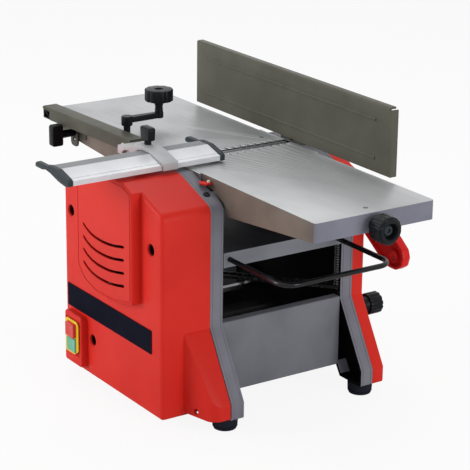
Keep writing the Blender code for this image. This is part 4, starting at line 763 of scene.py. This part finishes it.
def make_near_cover():
    def on_face(depth):
        return lambda face: face.normal.y < -0.9 and abs(face.calc_center_median().y + depth) < 0.0005

    cover = slab(side_outline(legs=False, bottom=0.016), -NEAR_FACE, -COVER_SEAT)
    rim(cover, 0.0065, on_face(NEAR_FACE), 5)
    hump = slab(raised_outline(), -PANEL_FACE, -NEAR_FACE + 0.008)
    rim(hump, 0.003, on_face(PANEL_FACE), 3)
    skirts = [leg_skirt(end) for end in (1, -1)]
    for skirt in skirts:
        ease(skirt, 0.0028, 3)
    plate_low, plate_high = extent("switch_plate")
    corner = (plate_low.x - 0.006, plate_low.z - 0.018), (plate_high.x + 0.0065, plate_high.z + 0.01)
    boss = slab(rectangle(*corner, 0.005), -SWITCH_FACE, -NEAR_FACE + 0.008)
    rim(boss, 0.0026, on_face(SWITCH_FACE), 3)
    join(cover, hump, boss, *skirts)
    hollow = slab(side_outline(0.003, legs=False, bottom=0.016), -NEAR_FACE + 0.003, -COVER_SEAT + 0.004)
    cut(cover, hollow, slab(raised_outline(0.003), -PANEL_FACE + 0.003, -NEAR_FACE + 0.006),
        *[leg_skirt(end, 0.003) for end in (1, -1)])
    contour = slab(raised_outline(0.005), -PANEL_FACE + 0.001, -PANEL_FACE - 0.002)
    cut(contour, slab(raised_outline(0.0064), -PANEL_FACE + 0.002, -PANEL_FACE - 0.003))
    outer_line = slab(raised_outline(0.003), -PANEL_FACE + 0.0006, -PANEL_FACE - 0.002)
    cut(outer_line, slab(raised_outline(0.0036), -PANEL_FACE + 0.002, -PANEL_FACE - 0.003))
    cut(cover, contour, outer_line)
    cut(cover, *[slab(band(vent_line(row), 0.0046, True), -PANEL_FACE - 0.002, -PANEL_FACE + 0.0045)
        for row in range(4)])
    for across, up in SCREW_WELLS:
        cut(cover, turned([(-0.001, 0.0104), (0.0012, 0.009), (0.0045, 0.0086)], "Y", (across, 0, up), 40,
            start=-NEAR_FACE))
    pocket = [tuple(coordinate + side * 0.0018 for coordinate in (place.x, place.z))
        for side, place in ((-1, plate_low), (1, plate_high))]
    cut(cover, slab(rectangle(*pocket, 0.003), -SWITCH_FACE - 0.001, -SWITCH_FACE + 0.0016),
        block((plate_low.x + 0.006, -SWITCH_FACE - 0.001, plate_low.z + 0.002),
        (plate_high.x - 0.004, -NEAR_FACE + 0.0045, plate_high.z - 0.002)))
    cut(cover, rod(0.0046, -0.2, -0.14, "Y", (0.17, 0, 0.032), 24))
    finished(cover, "near_cover_shell", "base", "red_plastic", RED_SHELL, "near_cover")
    for index, (across, up) in enumerate(SCREW_WELLS):
        well = turned([(0.014, 0.0102), (0.0032, 0.0102), (0.0032, 0.0086), (0.0115, 0.0082),
            (0.0115, 0.005), (0.0088, 0.0046), (0.0082, 0.0038), (0.0082, 0.0019), (0.0098, 0.0017)], "Y",
            (across, 0, up), 32, start=-NEAR_FACE)
        finished(well, f"cover_screw_{index + 1}", "base", "black_plastic", KNOB_BLACK)


def make_far_cover():
    cover = slab(side_outline(), COVER_SEAT, FAR_FACE)
    rim(cover, 0.004,
        lambda face: face.normal.y > 0.9 and abs(face.calc_center_median().y - FAR_FACE) < 0.0005, 4)
    cut(cover, slab(side_outline(0.003), COVER_SEAT - 0.001, FAR_FACE - 0.003))
    for across, up in STICK_PEGS:
        join(cover, turned([(-0.002, 0.005), (0.012, 0.005), (0.014, 0.004)], "Y", (across, 0, up), 32,
            start=FAR_FACE))
    cut(cover, rod(0.0063, FAR_FACE - 0.01, FAR_FACE + 0.01, "Y", (0.13, 0, 0.121), 32))
    for across, up in ((-0.118, 0.29), (0.0, 0.06), (-0.06, 0.18)):
        cut(cover, turned([(FAR_FACE - 0.0022, 0.005), (FAR_FACE + 0.001, 0.007)], "Y", (across, 0, up),
            32))
    finished(cover, "far_cover_shell", "base", "red_plastic", RED_SHELL, "far_cover")


def make_switch():
    low, high = extent("switch_plate")
    guard = slab(rounded([(low.x, low.z), (high.x - 0.012, low.z), (high.x, low.z + 0.0075),
        (high.x, high.z), (low.x + 0.003, high.z), (low.x, high.z - 0.0045)],
        [0.003, 0.003, 0.005, 0.008, 0.004, 0.002], 5), low.y, high.y)
    ease(guard, 0.0006, 2)
    for node in ("stop_button", "start_button"):
        left, right = extent(node)
        cut(guard, slab(rectangle((left.x - 0.0004, left.z - 0.0004), (right.x + 0.0004, right.z + 0.0004),
            0.0008), low.y - 0.001, high.y + 0.001))
    finished(guard, "switch_guard", "base", "yellow_plastic", SWITCH_YELLOW, "switch_plate")
    for node, material, slot in (("stop_button", SWITCH_RED, "red_plastic"),
            ("start_button", SWITCH_GREEN, "green_plastic")):
        low, high = extent(node)
        key = block(low, high)
        pick(key)
        edit(lambda part: part.normal.y < -0.9)
        bpy.ops.mesh.inset(thickness=0.003)
        bpy.ops.transform.translate(value=(0, 0.0009, 0))
        close_edit()
        ease(key, 0.0008, 2)
        finished(key, node + "_key", node, slot, material, node)


def make_label():
    low, high = extent("label_plate")
    strip = slab(rectangle((low.x, low.z), (high.x, high.z), 0.0015), low.y, high.y)
    ease(strip, 0.0002, 1)
    finished(strip, "label_band", "base", "black_plastic", BAND_NAVY, "label_plate")


# Tables

CRANK_PLACE = (-0.1514, -0.097, 0)
INFEED_SCREW = (0, -0.002, 0.3485)
OUTFEED_END = 0.3725
INFEED_END = 0.3645
NOTCH_PITCH = 0.0135


def table_body(side, end, end_depth):
    lip = 0.0095
    head = TABLE_TOP - 0.0182
    points = [(lip, TABLE_TOP - 0.009), (0.024, TABLE_TOP - 0.009), (0.029, head), (0.112, head),
        (0.152, TABLE_TOP - 0.049), (end, TABLE_TOP - end_depth), (end, TABLE_TOP), (lip, TABLE_TOP)]
    body = slab([(side * across, up) for across, up in points], -HALF_TABLE, HALF_TABLE)
    across = sorted((side * 0.036, side * (end - 0.005)))
    pocket = block((across[0], -0.1, 0.3), (across[1], 0.1, TABLE_TOP - 0.007))
    for way in (-1, 1):
        pad_x = sorted((side * (lip + 0.0005), side * 0.079))
        pad_y = sorted((way * 0.104, way * (FRAME_IN - 0.0003)))
        join(body, block((pad_x[0], pad_y[0], head + 0.0002), (pad_x[1], pad_y[1], TABLE_TOP - 0.0004)))
    pick(body)
    edit()
    bpy.ops.mesh.select_mode(type="EDGE")
    bpy.ops.mesh.select_all(action="DESELECT")
    mesh = bmesh.from_edit_mesh(body.data)
    for line in mesh.edges:
        ends = [vertex.co for vertex in line.verts]
        upright = abs(ends[0].x - ends[1].x) + abs(ends[0].y - ends[1].y) < 0.0001
        line.select_set(upright and abs(abs(ends[0].x) - end) < 0.0001)
    bmesh.update_edit_mesh(body.data)
    bpy.ops.mesh.bevel(offset=0.0045, segments=4, affect="EDGES")
    close_edit()
    cut(body, pocket)
    relief = 0.0235 if side < 0 else 0.0228
    cut(body, rod(relief, -0.112, 0.112, "Y", (0, 0, CUTTER_AXIS), 64))
    for step in range(15):
        middle = -NOTCH_PITCH * 7 + NOTCH_PITCH * step
        notch = rounded([(side * 0.008, middle - 0.0025), (side * 0.0195, middle - 0.0025),
            (side * 0.0195, middle + 0.0025), (side * 0.008, middle + 0.0025)], [0, 0.0022, 0.0022, 0], 4)
        cut(body, slab(notch, TABLE_TOP - 0.02, TABLE_TOP + 0.001, "XY"))
    tidy(body)
    ease(body, 0.0007, 2)
    return body


def skin_table(piece, side):
    """The cast skirts are painted, the planed top is bright."""
    paint_faces(piece, TABLE_CASTING, lambda centre, normal: normal.z < 0.6
        and (side * normal.x > 0.5 or normal.z < -0.5))
    paint_faces(piece, TABLE_SKIRT, lambda centre, normal: abs(normal.y) > 0.5 and abs(centre.y) > 0.1045)


def countersunk(place, name, body):
    head = turned([(-0.003, 0.0012), (-0.0004, 0.0032), (0.00005, 0.0034), (0.00005, 0.0015),
        (-0.0012, 0.0014)], "Z", place, 24)
    finished(head, name, body, "steel", KNOB_BLACK)


def make_tables():
    outfeed = table_body(-1, OUTFEED_END, 0.0352)
    join(outfeed, rod(0.008, 0.3335, TABLE_TOP - 0.001, "Z", CRANK_PLACE, 32))
    cut(outfeed, rod(0.0058, 0.3, 0.4, "Z", CRANK_PLACE, 32),
        block((-0.1699, -0.106, 0.3), (-0.1329, -0.0989, 0.3325)))
    finished(outfeed, "outfeed_table_top", "base", "table_metal", TABLE_TOP_METAL, "outfeed_table")
    skin_table(outfeed, -1)
    infeed = table_body(1, INFEED_END, 0.0286)
    join(infeed, rod(0.01, 0.3425, 0.3635, "X", INFEED_SCREW, 32))
    cut(infeed, rod(0.0053, 0.33, 0.37, "X", INFEED_SCREW, 32))
    finished(infeed, "infeed_table_top", "infeed_table", "table_metal", TABLE_TOP_METAL, "infeed_table")
    skin_table(infeed, 1)
    countersunk((0.342, -0.001, TABLE_TOP), "infeed_table_screw", "infeed_table")
    countersunk((-0.0385, 0.083, TABLE_TOP), "outfeed_table_screw", "base")


def make_infeed_knob():
    low, high = extent("infeed_knob")
    start = low.x
    place = centre_line("infeed_knob", "X")
    rim_start = high.x - 0.0255
    radius = (high.z - low.z) / 2
    grip = slab(moved(scallops(radius, 16, 0.0011), place[1], place[2]), rim_start, high.x - 0.003, "YZ")
    ease(grip, 0.0016, 3)
    join(grip, turned([(start, 0.0105), (start + 0.0105, 0.0103), (start + 0.0125, 0.013),
        (rim_start + 0.002, radius - 0.0035)], "X", place, 48),
        turned([(-0.005, radius - 0.0022), (-0.0008, radius - 0.0028), (0, radius - 0.0036)], "X", place,
        start=high.x))
    cut(grip, turned([(-0.0112, 0.0108), (-0.002, 0.0112), (0.001, 0.0128)], "X", place, start=high.x),
        rod(0.0053, start - 0.001, high.x, "X", place, 32))
    finished(grip, "infeed_knob_grip", "infeed_knob", "black_plastic", KNOB_BLACK, "infeed_knob")
    screw = turned([(-0.049, 0.005), (0.0272, 0.005), (0.0274, 0.0072), (0.0312, 0.0072), (0.032, 0.0062),
        (0.032, 0.0032), (0.0295, 0.003)], "X", place, 40, start=start)
    finished(screw, "infeed_knob_screw", "infeed_knob", "steel", SLATE, "infeed_screw")


def make_pointer():
    arrow = slab(rounded([(0.088, -0.1165), (0.101, -0.1215), (0.109, -0.1165), (0.109, -0.1053),
        (0.099, -0.1053)], [0.0015, 0.001, 0.002, 0, 0], 3), 0.3572, 0.3596, "XY")
    ease(arrow, 0.0005, 2)
    finished(arrow, "scale_arrow", "infeed_table", "red_plastic", DEEP_RED, "scale_pointer")
    cap = turned([(0.3596, 0.0026), (0.3616, 0.0028), (0.3628, 0.002)], "Z", (0.1035, -0.1085, 0), 24)
    finished(cap, "scale_arrow_screw", "infeed_table", "bright_aluminium", CREAM)


# Thicknessing side

def make_wire():
    low, high = extent("wire_support")
    height = (low.z + high.z) / 2
    side = high.y - 0.004
    front = high.x - 0.004
    corners = [(low.x, -side), (front, -side), (front, side), (low.x, side)]
    path = rounded(corners, [0, 0.024, 0.024, 0], 12)
    curve = bpy.data.curves.new("wire", "CURVE")
    curve.dimensions = "3D"
    curve.bevel_depth = 0.004
    curve.bevel_resolution = 6
    curve.use_fill_caps = True
    spline = curve.splines.new("POLY")
    spline.points.add(len(path) - 1)
    for point, (across, along) in zip(spline.points, path):
        point.co = (across, along, height, 1)
    piece = bpy.data.objects.new("wire", curve)
    bpy.context.scene.collection.objects.link(piece)
    pick(piece)
    bpy.ops.object.convert(target="MESH")
    piece = tidy(bpy.context.view_layer.objects.active)
    finished(piece, "wire_rest", "wire_support", "black_paint", GLOSS_BLACK, "wire_support", smooth=50)


def make_crank():
    place = CRANK_PLACE
    across, near = place[:2]
    arm_height = 0.395
    knob_y = near + 0.059
    shaft = rod(0.0055, 0.3245, arm_height, "Z", place, 32)
    bar = slab([(across + 0.0068, near), (across + 0.0052, knob_y), (across - 0.0052, knob_y),
        (across - 0.0068, near)], arm_height - 0.0045, arm_height + 0.0045, "XY")
    ease(bar, 0.0012, 2)
    hub = turned([(-0.009, 0.0082), (-0.0075, 0.009), (0.005, 0.009), (0.0062, 0.008)], "Z", place, 40,
        start=arm_height)
    eye = turned([(-0.0045, 0.0066), (-0.0038, 0.0072), (0.0045, 0.0072)], "Z", (across, knob_y, 0), 40,
        start=arm_height)
    pin = rod(0.004, arm_height, arm_height + 0.038, "Z", (across, knob_y, 0), 28)
    join(shaft, bar, hub, eye, pin)
    teeth = []
    module = math.hypot(0.0234, 0.0195) / 16
    facing = math.atan2(-0.0195, 0.0234) + math.pi / 16
    for tooth in range(16):
        middle = facing + tooth * math.pi / 8
        for radius, share in ((6.9 * module, -0.3), (8.75 * module, -0.11), (8.75 * module, 0.11),
                (6.9 * module, 0.3)):
            turn = middle + share * math.pi / 8
            teeth.append((place[0] + radius * math.cos(turn), place[1] + radius * math.sin(turn)))
    join(shaft, slab(teeth, 0.3245, 0.3305, "XY"))
    finished(shaft, "crank_arm", "crank_handle", "black_plastic", KNOB_BLACK, "crank_handle")
    low, high = extent("crank_knob")
    centre = centre_line("crank_knob", "Z")
    grip = slab(moved(scallops(0.0226, 10, 0.0014, 10), centre[0], centre[1]), high.z - 0.019, high.z, "XY")
    ease(grip, 0.0034, 4)
    join(grip, turned([(low.z, 0.0066), (low.z + 0.01, 0.006), (low.z + 0.0165, 0.0085),
        (high.z - 0.018, 0.017), (high.z - 0.017, 0.018)], "Z", centre, 48))
    cut(grip, turned([(-0.0022, 0.0058), (-0.001, 0.0066), (0.001, 0.0076)], "Z", centre, start=high.z),
        rod(0.0043, low.z - 0.001, high.z - 0.0025, "Z", centre, 28))
    finished(grip, "crank_grip", "crank_knob", "black_plastic", KNOB_BLACK, "crank_knob")


def make_rollers():
    for name, material, flutes in (("rear_feed_roller", MACHINED, 30), ("front_feed_roller", BELT, 0)):
        low, high = extent(name)
        place = centre_line(name, "Y")
        if flutes:
            teeth = []
            for index in range(flutes):
                turn = 2 * math.pi * index / flutes
                for reach, shift in ((0.012, -0.05), (0.012, 0.05), (0.0106, 0.1)):
                    teeth.append((place[0] + reach * math.cos(turn + shift),
                        place[2] + reach * math.sin(turn + shift)))
            drum = slab(teeth, -0.102, 0.102)
        else:
            drum = turned([(-0.102, 0.0112), (-0.101, 0.012), (0.101, 0.012), (0.102, 0.0112)], "Y", place,
                48)
        join(drum, rod(0.005, low.y, high.y, "Y", place, 32))
        finished(drum, name + "_drum", name, "steel" if flutes else "rubber", material, name)


# Guard

def wing(place, axis, sleeve, height, half_width, half_depth, stud, root=1.0):
    """A flat finger grip on its sleeve and stud."""
    lift = sleeve + height / 2
    outline = rounded([(-half_width * root, -height / 2), (half_width * root, -height / 2),
        (half_width, height / 2), (-half_width, height / 2)], [0.004] * 4, 5)
    if axis == "Z":
        shape = [(place[0] + across, place[2] + lift + up) for across, up in outline]
        head = slab(shape, place[1] - half_depth, place[1] + half_depth)
        stem = turned([(0, 0.0055), (lift, 0.005)], "Z", place, 32)
        pin = rod(0.003, stud, lift, "Z", place, 24)
    else:
        shape = [(place[1] - lift - up, place[2] + across) for across, up in outline]
        head = slab(shape, place[0] - half_depth, place[0] + half_depth, "YZ")
        stem = turned([(-lift, 0.007), (0, 0.006)], "Y", place, 32)
        pin = rod(0.003, -lift, stud, "Y", place, 24)
    ease(head, 0.002, 3)
    return join(head, stem, pin)


PIVOT = (-0.3445, 0.35)
PIVOT_PLACE = (PIVOT[0], 0, PIVOT[1])
LOCK = (-0.2975, 0.342)
ARM_END = 0.0805
ARM_LENGTH = 0.281
ARM_TOP = 0.3835
ARM_SLOPE = -math.radians(1.5)


def make_guard_arm():
    wall, depth = 0.0025, 0.02
    section = rounded([(-0.135, ARM_TOP - depth), (-0.135 + wall, ARM_TOP - depth),
        (-0.135 + wall, ARM_TOP - wall), (-0.107 - wall, ARM_TOP - wall), (-0.107 - wall, ARM_TOP - depth),
        (-0.107, ARM_TOP - depth), (-0.107, ARM_TOP), (-0.135, ARM_TOP)],
        [0.0006, 0.0006, 0.001, 0.001, 0.0006, 0.0006, 0.003, 0.003], 5)
    start = -ARM_END - ARM_LENGTH
    channel = slab(section, start, -ARM_END, "YZ")
    lean(channel, (-ARM_END, 0, ARM_TOP), ARM_SLOPE)
    lug = rounded([(PIVOT[0] - 0.01, PIVOT[1] - 0.01), (PIVOT[0] + 0.01, PIVOT[1] - 0.01),
        (PIVOT[0] + 0.014, ARM_TOP - 0.012), (PIVOT[0] - 0.013, ARM_TOP - 0.012)], [0.009, 0.009, 0, 0])
    tab = rounded([(LOCK[0] - 0.015, LOCK[1] - 0.024), (LOCK[0] + 0.008, LOCK[1] - 0.024),
        (LOCK[0] + 0.008, ARM_TOP - 0.012), (LOCK[0] - 0.015, ARM_TOP - 0.012)], [0.0075, 0.0075, 0, 0])
    join(channel, slab(lug, -0.1095, -0.107), slab(tab, -0.1095, -0.107))
    cut(channel, block((start - 0.001, -0.136, 0.34), (start + 0.024, -0.13, 0.3722)))
    radius = math.hypot(LOCK[0] - PIVOT[0], LOCK[1] - PIVOT[1])
    rest = math.atan2(LOCK[1] - PIVOT[1], LOCK[0] - PIVOT[0])
    arc = [(PIVOT[0] + radius * math.cos(rest + math.radians(turn)),
        PIVOT[1] + radius * math.sin(rest + math.radians(turn))) for turn in range(-19, 6, 2)]
    cut(channel, slab(band(arc, 0.0066), -0.1105, -0.106), rod(0.0043, -0.1105, -0.106, "Y", PIVOT_PLACE,
        28))
    ease(channel, 0.0004, 1, 50)
    finished(channel, "arm_channel", "guard_arm", "olive_paint", ARM_OLIVE, "guard_arm")
    bolt = turned([(-0.1325, 0.0025), (-0.1352, 0.0025), (-0.1352, 0.0052), (-0.1365, 0.005),
        (-0.1378, 0.0036), (-0.1378, 0.002), (-0.1368, 0.0018)], "Y", (-0.0985, 0, 0.3705), 32)
    finished(bolt, "arm_button_screw", "guard_arm", "steel", ZINC)
    plug = block((start + 0.0006, -0.1338, 0.3568), (start + 0.0232, -0.1122, 0.3718))
    cut(plug, block((start + 0.003, -0.1345, 0.359), (start + 0.0208, -0.12, 0.3696)))
    brace = slab([(start + 0.0026, 0.369), (start + 0.0202, 0.3584), (start + 0.0212, 0.3596),
        (start + 0.0036, 0.3702)], -0.133, -0.119)
    join(plug, brace)
    ease(plug, 0.0005, 2)
    lean(plug, (start + 0.012, 0, 0.364), ARM_SLOPE)
    finished(plug, "arm_end_plug", "guard_arm", "black_plastic", KNOB_BLACK)

    strip = slab(rounded([(PIVOT[0] - 0.012, 0.337), (LOCK[0] + 0.03, 0.334), (LOCK[0] + 0.03, 0.356),
        (PIVOT[0] - 0.012, 0.36)], [0.006, 0.003, 0.003, 0.006]), -0.1067, -0.1053)
    cut(strip, rod(0.0043, -0.108, -0.104, "Y", PIVOT_PLACE, 28),
        rod(0.0033, -0.108, -0.104, "Y", (LOCK[0], 0, LOCK[1]), 28))
    finished(strip, "arm_bracket_plate", "base", "olive_paint", ARM_OLIVE, "arm_bracket")
    stud = turned([(-0.1056, 0.004), (-0.1098, 0.004), (-0.1098, 0.008), (-0.1104, 0.008),
        (-0.1104, 0.0068), (-0.115, 0.0068), (-0.1155, 0.0062), (-0.1155, 0.0038)], "Y", PIVOT_PLACE, 6)
    finished(stud, "pivot_nut", "base", "steel", ZINC, "arm_pivot_bolt")
    knob = wing((LOCK[0], -0.1125, LOCK[1]), "Y", 0.0225, 0.02, 0.0178, 0.0072, 0.007)
    finished(knob, "arm_wing", "arm_wing_knob", "black_plastic", KNOB_BLACK, "arm_wing_knob")


def make_guard():
    outline = [(0.0537, 0.3708), (0.0537, 0.3822), (0.019, 0.3925), (0.0, 0.3952), (-0.03, 0.3952),
        (-0.034, 0.3885), (-0.0796, 0.38), (-0.0796, 0.3675), (-0.044, 0.3675), (-0.024, 0.377),
        (-0.024, 0.385), (-0.0086, 0.3892), (0.0171, 0.3892), (0.0506, 0.3797), (0.0506, 0.3708)]
    radii = [0.001, 0.003, 0.004, 0.002, 0.002, 0.001, 0.001, 0.001, 0.003, 0.002, 0.001, 0.001, 0.001,
        0.001, 0.001]
    clamp = slab(rounded(outline, radii, 3), -0.156, -0.13)
    cut(clamp, slab(rounded([(-0.07, 0.37), (-0.048, 0.37), (-0.04, 0.38), (-0.059, 0.377)],
        [0.001, 0.002, 0.002, 0.001], 3), -0.157, -0.15))
    join(clamp, block((-0.1065, -0.1322, 0.3675), (-0.06, -0.1098, 0.3795)))
    ease(clamp, 0.0005, 2)
    cut(clamp, rod(0.0033, 0.38, 0.4, "Z", (-0.012, -0.143, 0), 24))
    finished(clamp, "clamp_casting", "guard_arm", "bright_aluminium", CAST_ALLOY, "guard_clamp")
    knob = wing((-0.012, -0.143, 0.3956), "Z", 0.006, 0.021, 0.014, 0.006, -0.0066, 0.85)
    finished(knob, "guard_wing", "guard_wing_knob", "black_plastic", KNOB_BLACK, "guard_wing_knob")

    low, high = extent("guard_profile")
    section = [(0.05, 0.3712), (0.05, 0.379), (0.044, 0.3808), (0.0438, 0.3802), (0.0424, 0.3806),
        (0.0426, 0.3812), (0.0168, 0.3885), (0.015, 0.3885), (0.015, 0.3879), (0.0136, 0.3879),
        (0.0136, 0.3885), (-0.0082, 0.3885), (-0.02, 0.3848), (-0.0192, 0.3822), (-0.0077, 0.386),
        (0.0164, 0.386), (0.0475, 0.3771), (0.0475, 0.3712)]
    rail = slab(section, low.y, high.y)
    ease(rail, 0.0002, 1, 20)
    finished(rail, "guard_rail", "guard", "bright_aluminium", EXTRUSION, "guard_profile")
    # Painted shade: the upper facets towards the clamp get the darker aluminium.
    paint_faces(rail, EXTRUSION_SHADE, lambda centre, normal: centre.x < 0.0135 and normal.z > 0.1)
    shape = rounded([(0.051, 0.371), (0.051, 0.3795), (0.047, 0.3818), (0.019, 0.3895), (-0.006, 0.3895),
        (-0.022, 0.3862), (-0.045, 0.3862), (-0.05, 0.383), (-0.05, 0.3775), (-0.03, 0.3775),
        (-0.018, 0.38), (-0.005, 0.378), (0.02, 0.3715), (0.04, 0.369)],
        [0.001, 0.002, 0.002, 0.01, 0.01, 0.01, 0.004, 0.002, 0.002, 0.003, 0.006, 0.006, 0.006, 0.003], 4)
    for node in ("guard_near_cap", "guard_far_cap"):
        low, high = extent(node)
        cap = slab(shape, low.y, high.y)
        ease(cap, 0.001, 2)
        finished(cap, node + "_cover", "guard", "slate_plastic", SLATE, node)


# Fence

def make_fence():
    low, high = extent("fence_plate")
    bottom = TABLE_TOP + 0.0045
    face, sheet, flange = low.y, 0.003, 0.012
    rear, front, top = low.x, high.x, high.z
    section = rounded([(face, bottom), (face + sheet, bottom), (face + sheet, top - sheet),
        (face + flange, top - sheet), (face + flange, top), (face, top)],
        [0.0006, 0.0006, 0.001, 0.0006, 0.0006, 0.0035], 6)
    skin = slab(section, rear, front, "YZ")
    for end, inward in ((rear, 1), (front, -1)):
        across = sorted((end, end + inward * sheet))
        join(skin, block((across[0], face + 0.0002, bottom + 0.0002),
            (across[1], face + flange, top - 0.0006)))
    pivot = (face + 0.008, TABLE_TOP + 0.0188)

    def polar(reach, degrees):
        turn = math.radians(degrees)
        return pivot[0] + reach * math.cos(turn), pivot[1] + reach * math.sin(turn)

    gusset = [(face + 0.001, bottom + 0.0004), polar(0.006, -95), polar(0.006, -40), polar(0.0075, 0)]
    gusset += [polar(0.0366, 14 + 62 * step / 9) for step in range(10)]
    gusset += [(face + sheet, pivot[1] + 0.048), (face + 0.001, pivot[1] + 0.048)]
    join(skin, slab(gusset, -0.0025, 0.0025, "YZ"))
    tidy(skin)
    ease(skin, 0.0006, 2, 50)
    cut(skin, slab(band([polar(0.03, 15 + 59 * step / 14) for step in range(15)], 0.0066), -0.005, 0.005,
        "YZ"), rod(0.0043, -0.006, 0.006, "X", (0, *pivot), 28))
    for height in (0.4515, 0.393):
        bead = slab([(face + 0.001, height - 0.003), (face + 0.001, height + 0.003),
            (face - 0.0006, height + 0.0024), (face - 0.0016, height + 0.0008),
            (face - 0.0016, height - 0.0008), (face - 0.0006, height - 0.0024)], -0.24, 0.22, "YZ")
        join(skin, bead)
    cut(skin, block((front - 0.006, face - 0.001, top - 0.0035),
        (front + 0.001, face + flange + 0.001, top + 0.001)))
    finished(skin, "fence_sheet", "fence", "olive_paint", FENCE_OLIVE, "fence_plate")

    low, high = extent("fence_lock_knob")
    place = centre_line("fence_lock_knob", "X")
    grip = slab(moved(scallops((high.z - low.z) / 2, 7, 0.0018, 12), place[1], place[2]), 0.02, high.x,
        "YZ")
    ease(grip, 0.0018, 3)
    join(grip, turned([(0.0076, 0.0078), (0.017, 0.0072), (0.021, 0.012)], "X", place, 40),
        rod(0.003, low.x, 0.02, "X", place, 28))
    finished(grip, "fence_lock_grip", "fence_lock_knob", "black_plastic", KNOB_BLACK, "fence_lock_knob")


# Controls on the far side

def make_feed_knob():
    low, high = extent("feed_knob")
    place = centre_line("feed_knob", "Y")
    grip = slab(moved(scallops(0.0175, 12, 0.0016), place[0], place[2]), 0.1705, high.y)
    ease(grip, 0.0014, 2)
    join(grip, turned([(FAR_FACE + 0.0003, 0.0125), (0.164, 0.0115), (0.1725, 0.014)], "Y", place, 40),
        rod(0.006, low.y, 0.17, "Y", place, 32))
    finished(grip, "feed_knob_grip", "feed_knob", "black_plastic", KNOB_BLACK, "feed_knob")


def make_push_stick():
    low, high = extent("push_stick")
    outline = [(0.18, 0.22), (0.205, 0.209), (0.222, 0.209), (0.236, 0.218), (0.24, 0.232), (0.236, 0.244),
        (0.217, 0.258), (0.062, 0.356), (0.048, 0.352), (0.046, 0.336), (0.028, 0.336), (0.026, 0.322),
        (0.034, 0.314), (0.152, 0.239)]
    radii = [0.01, 0.008, 0.008, 0.007, 0.006, 0.008, 0.02, 0.004, 0.003, 0.002, 0.002, 0.003, 0.004, 0.01]
    stick = slab(rounded(outline, radii, 5), low.y, high.y)
    ease(stick, 0.0012, 2)
    core = rounded(inset(outline, 0.0045), radii, 4)
    cut(stick, slab(core, low.y - 0.001, low.y + 0.005), slab(core, high.y - 0.005, high.y + 0.001))
    for step in range(1, 6):
        share = step / 6
        across = 0.205 + (0.05 - 0.205) * share
        up = 0.24 + (0.336 - 0.24) * share
        rib = slab([(across - 0.013, up - 0.0205), (across - 0.0105, up - 0.0205),
            (across + 0.013, up + 0.0185), (across + 0.0105, up + 0.0185)], low.y + 0.0008, high.y - 0.0008)
        join(stick, rib)
    for across, up in STICK_PEGS:
        join(stick, rod(0.0088, low.y, high.y, "Y", (across, 0, up), 36))
    join(stick, rod(0.0105, low.y + 0.001, high.y - 0.001, "Y", (0.2145, 0, 0.229), 40))
    cut(stick, rod(0.007, low.y - 0.001, high.y + 0.001, "Y", (0.2145, 0, 0.229), 40),
        *[rod(0.0053, low.y - 0.001, high.y + 0.001, "Y", (across, 0, up), 32)
        for across, up in STICK_PEGS])
    for step in range(9):
        turn = math.radians(-72 + 17 * step)
        across, up = 0.2145 + 0.0262 * math.cos(turn), 0.233 + 0.0262 * math.sin(turn)
        cut(stick, rod(0.0016, low.y - 0.001, high.y + 0.001, "Y", (across, 0, up), 14))
    finished(stick, "push_stick_moulding", "push_stick", "red_plastic", DEEP_RED, "push_stick")


# Pieces that keep their CAD shape

def refinish(material, *names):
    for name in names:
        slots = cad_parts[name].data.materials
        if len(slots):
            slots[0] = material
        else:
            slots.append(material)


def dress_cad_pieces():
    refinish(BED_METAL, "thicknessing_table")
    # Painted shade: the bed's upward faces get the dark finish.
    paint_faces(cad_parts["thicknessing_table"], BED_TOP_SHADE, lambda centre, normal: normal.z > 0.9)
    refinish(MACHINED, "cutter_block", "upper_knife", "lower_knife", "near_cutter_bearing",
        "far_cutter_bearing", "cutter_pulley", "motor_pulley", "rear_roller_sprocket",
        "front_roller_sprocket", "feed_gear", "pawl_rod", "kickback_pawls", "near_guide_post",
        "far_guide_post")
    refinish(THREADED, "near_lead_screw", "far_lead_screw")
    refinish(CHAIN, "feed_chain", "lift_chain")
    refinish(BELT, "drive_belt")
    refinish(GLOSS_BLACK, "motor_housing")
    refinish(WINDING, "motor_rotor")
    refinish(FENCE_OLIVE, "fence_bracket")


set_up_view()
make_base()
make_shoulder_screws()
make_near_cover()
make_far_cover()
make_switch()
make_label()
make_tables()
make_infeed_knob()
make_pointer()
make_wire()
make_crank()
make_rollers()
make_guard_arm()
make_guard()
make_fence()
make_feed_knob()
make_push_stick()
dress_cad_pieces()
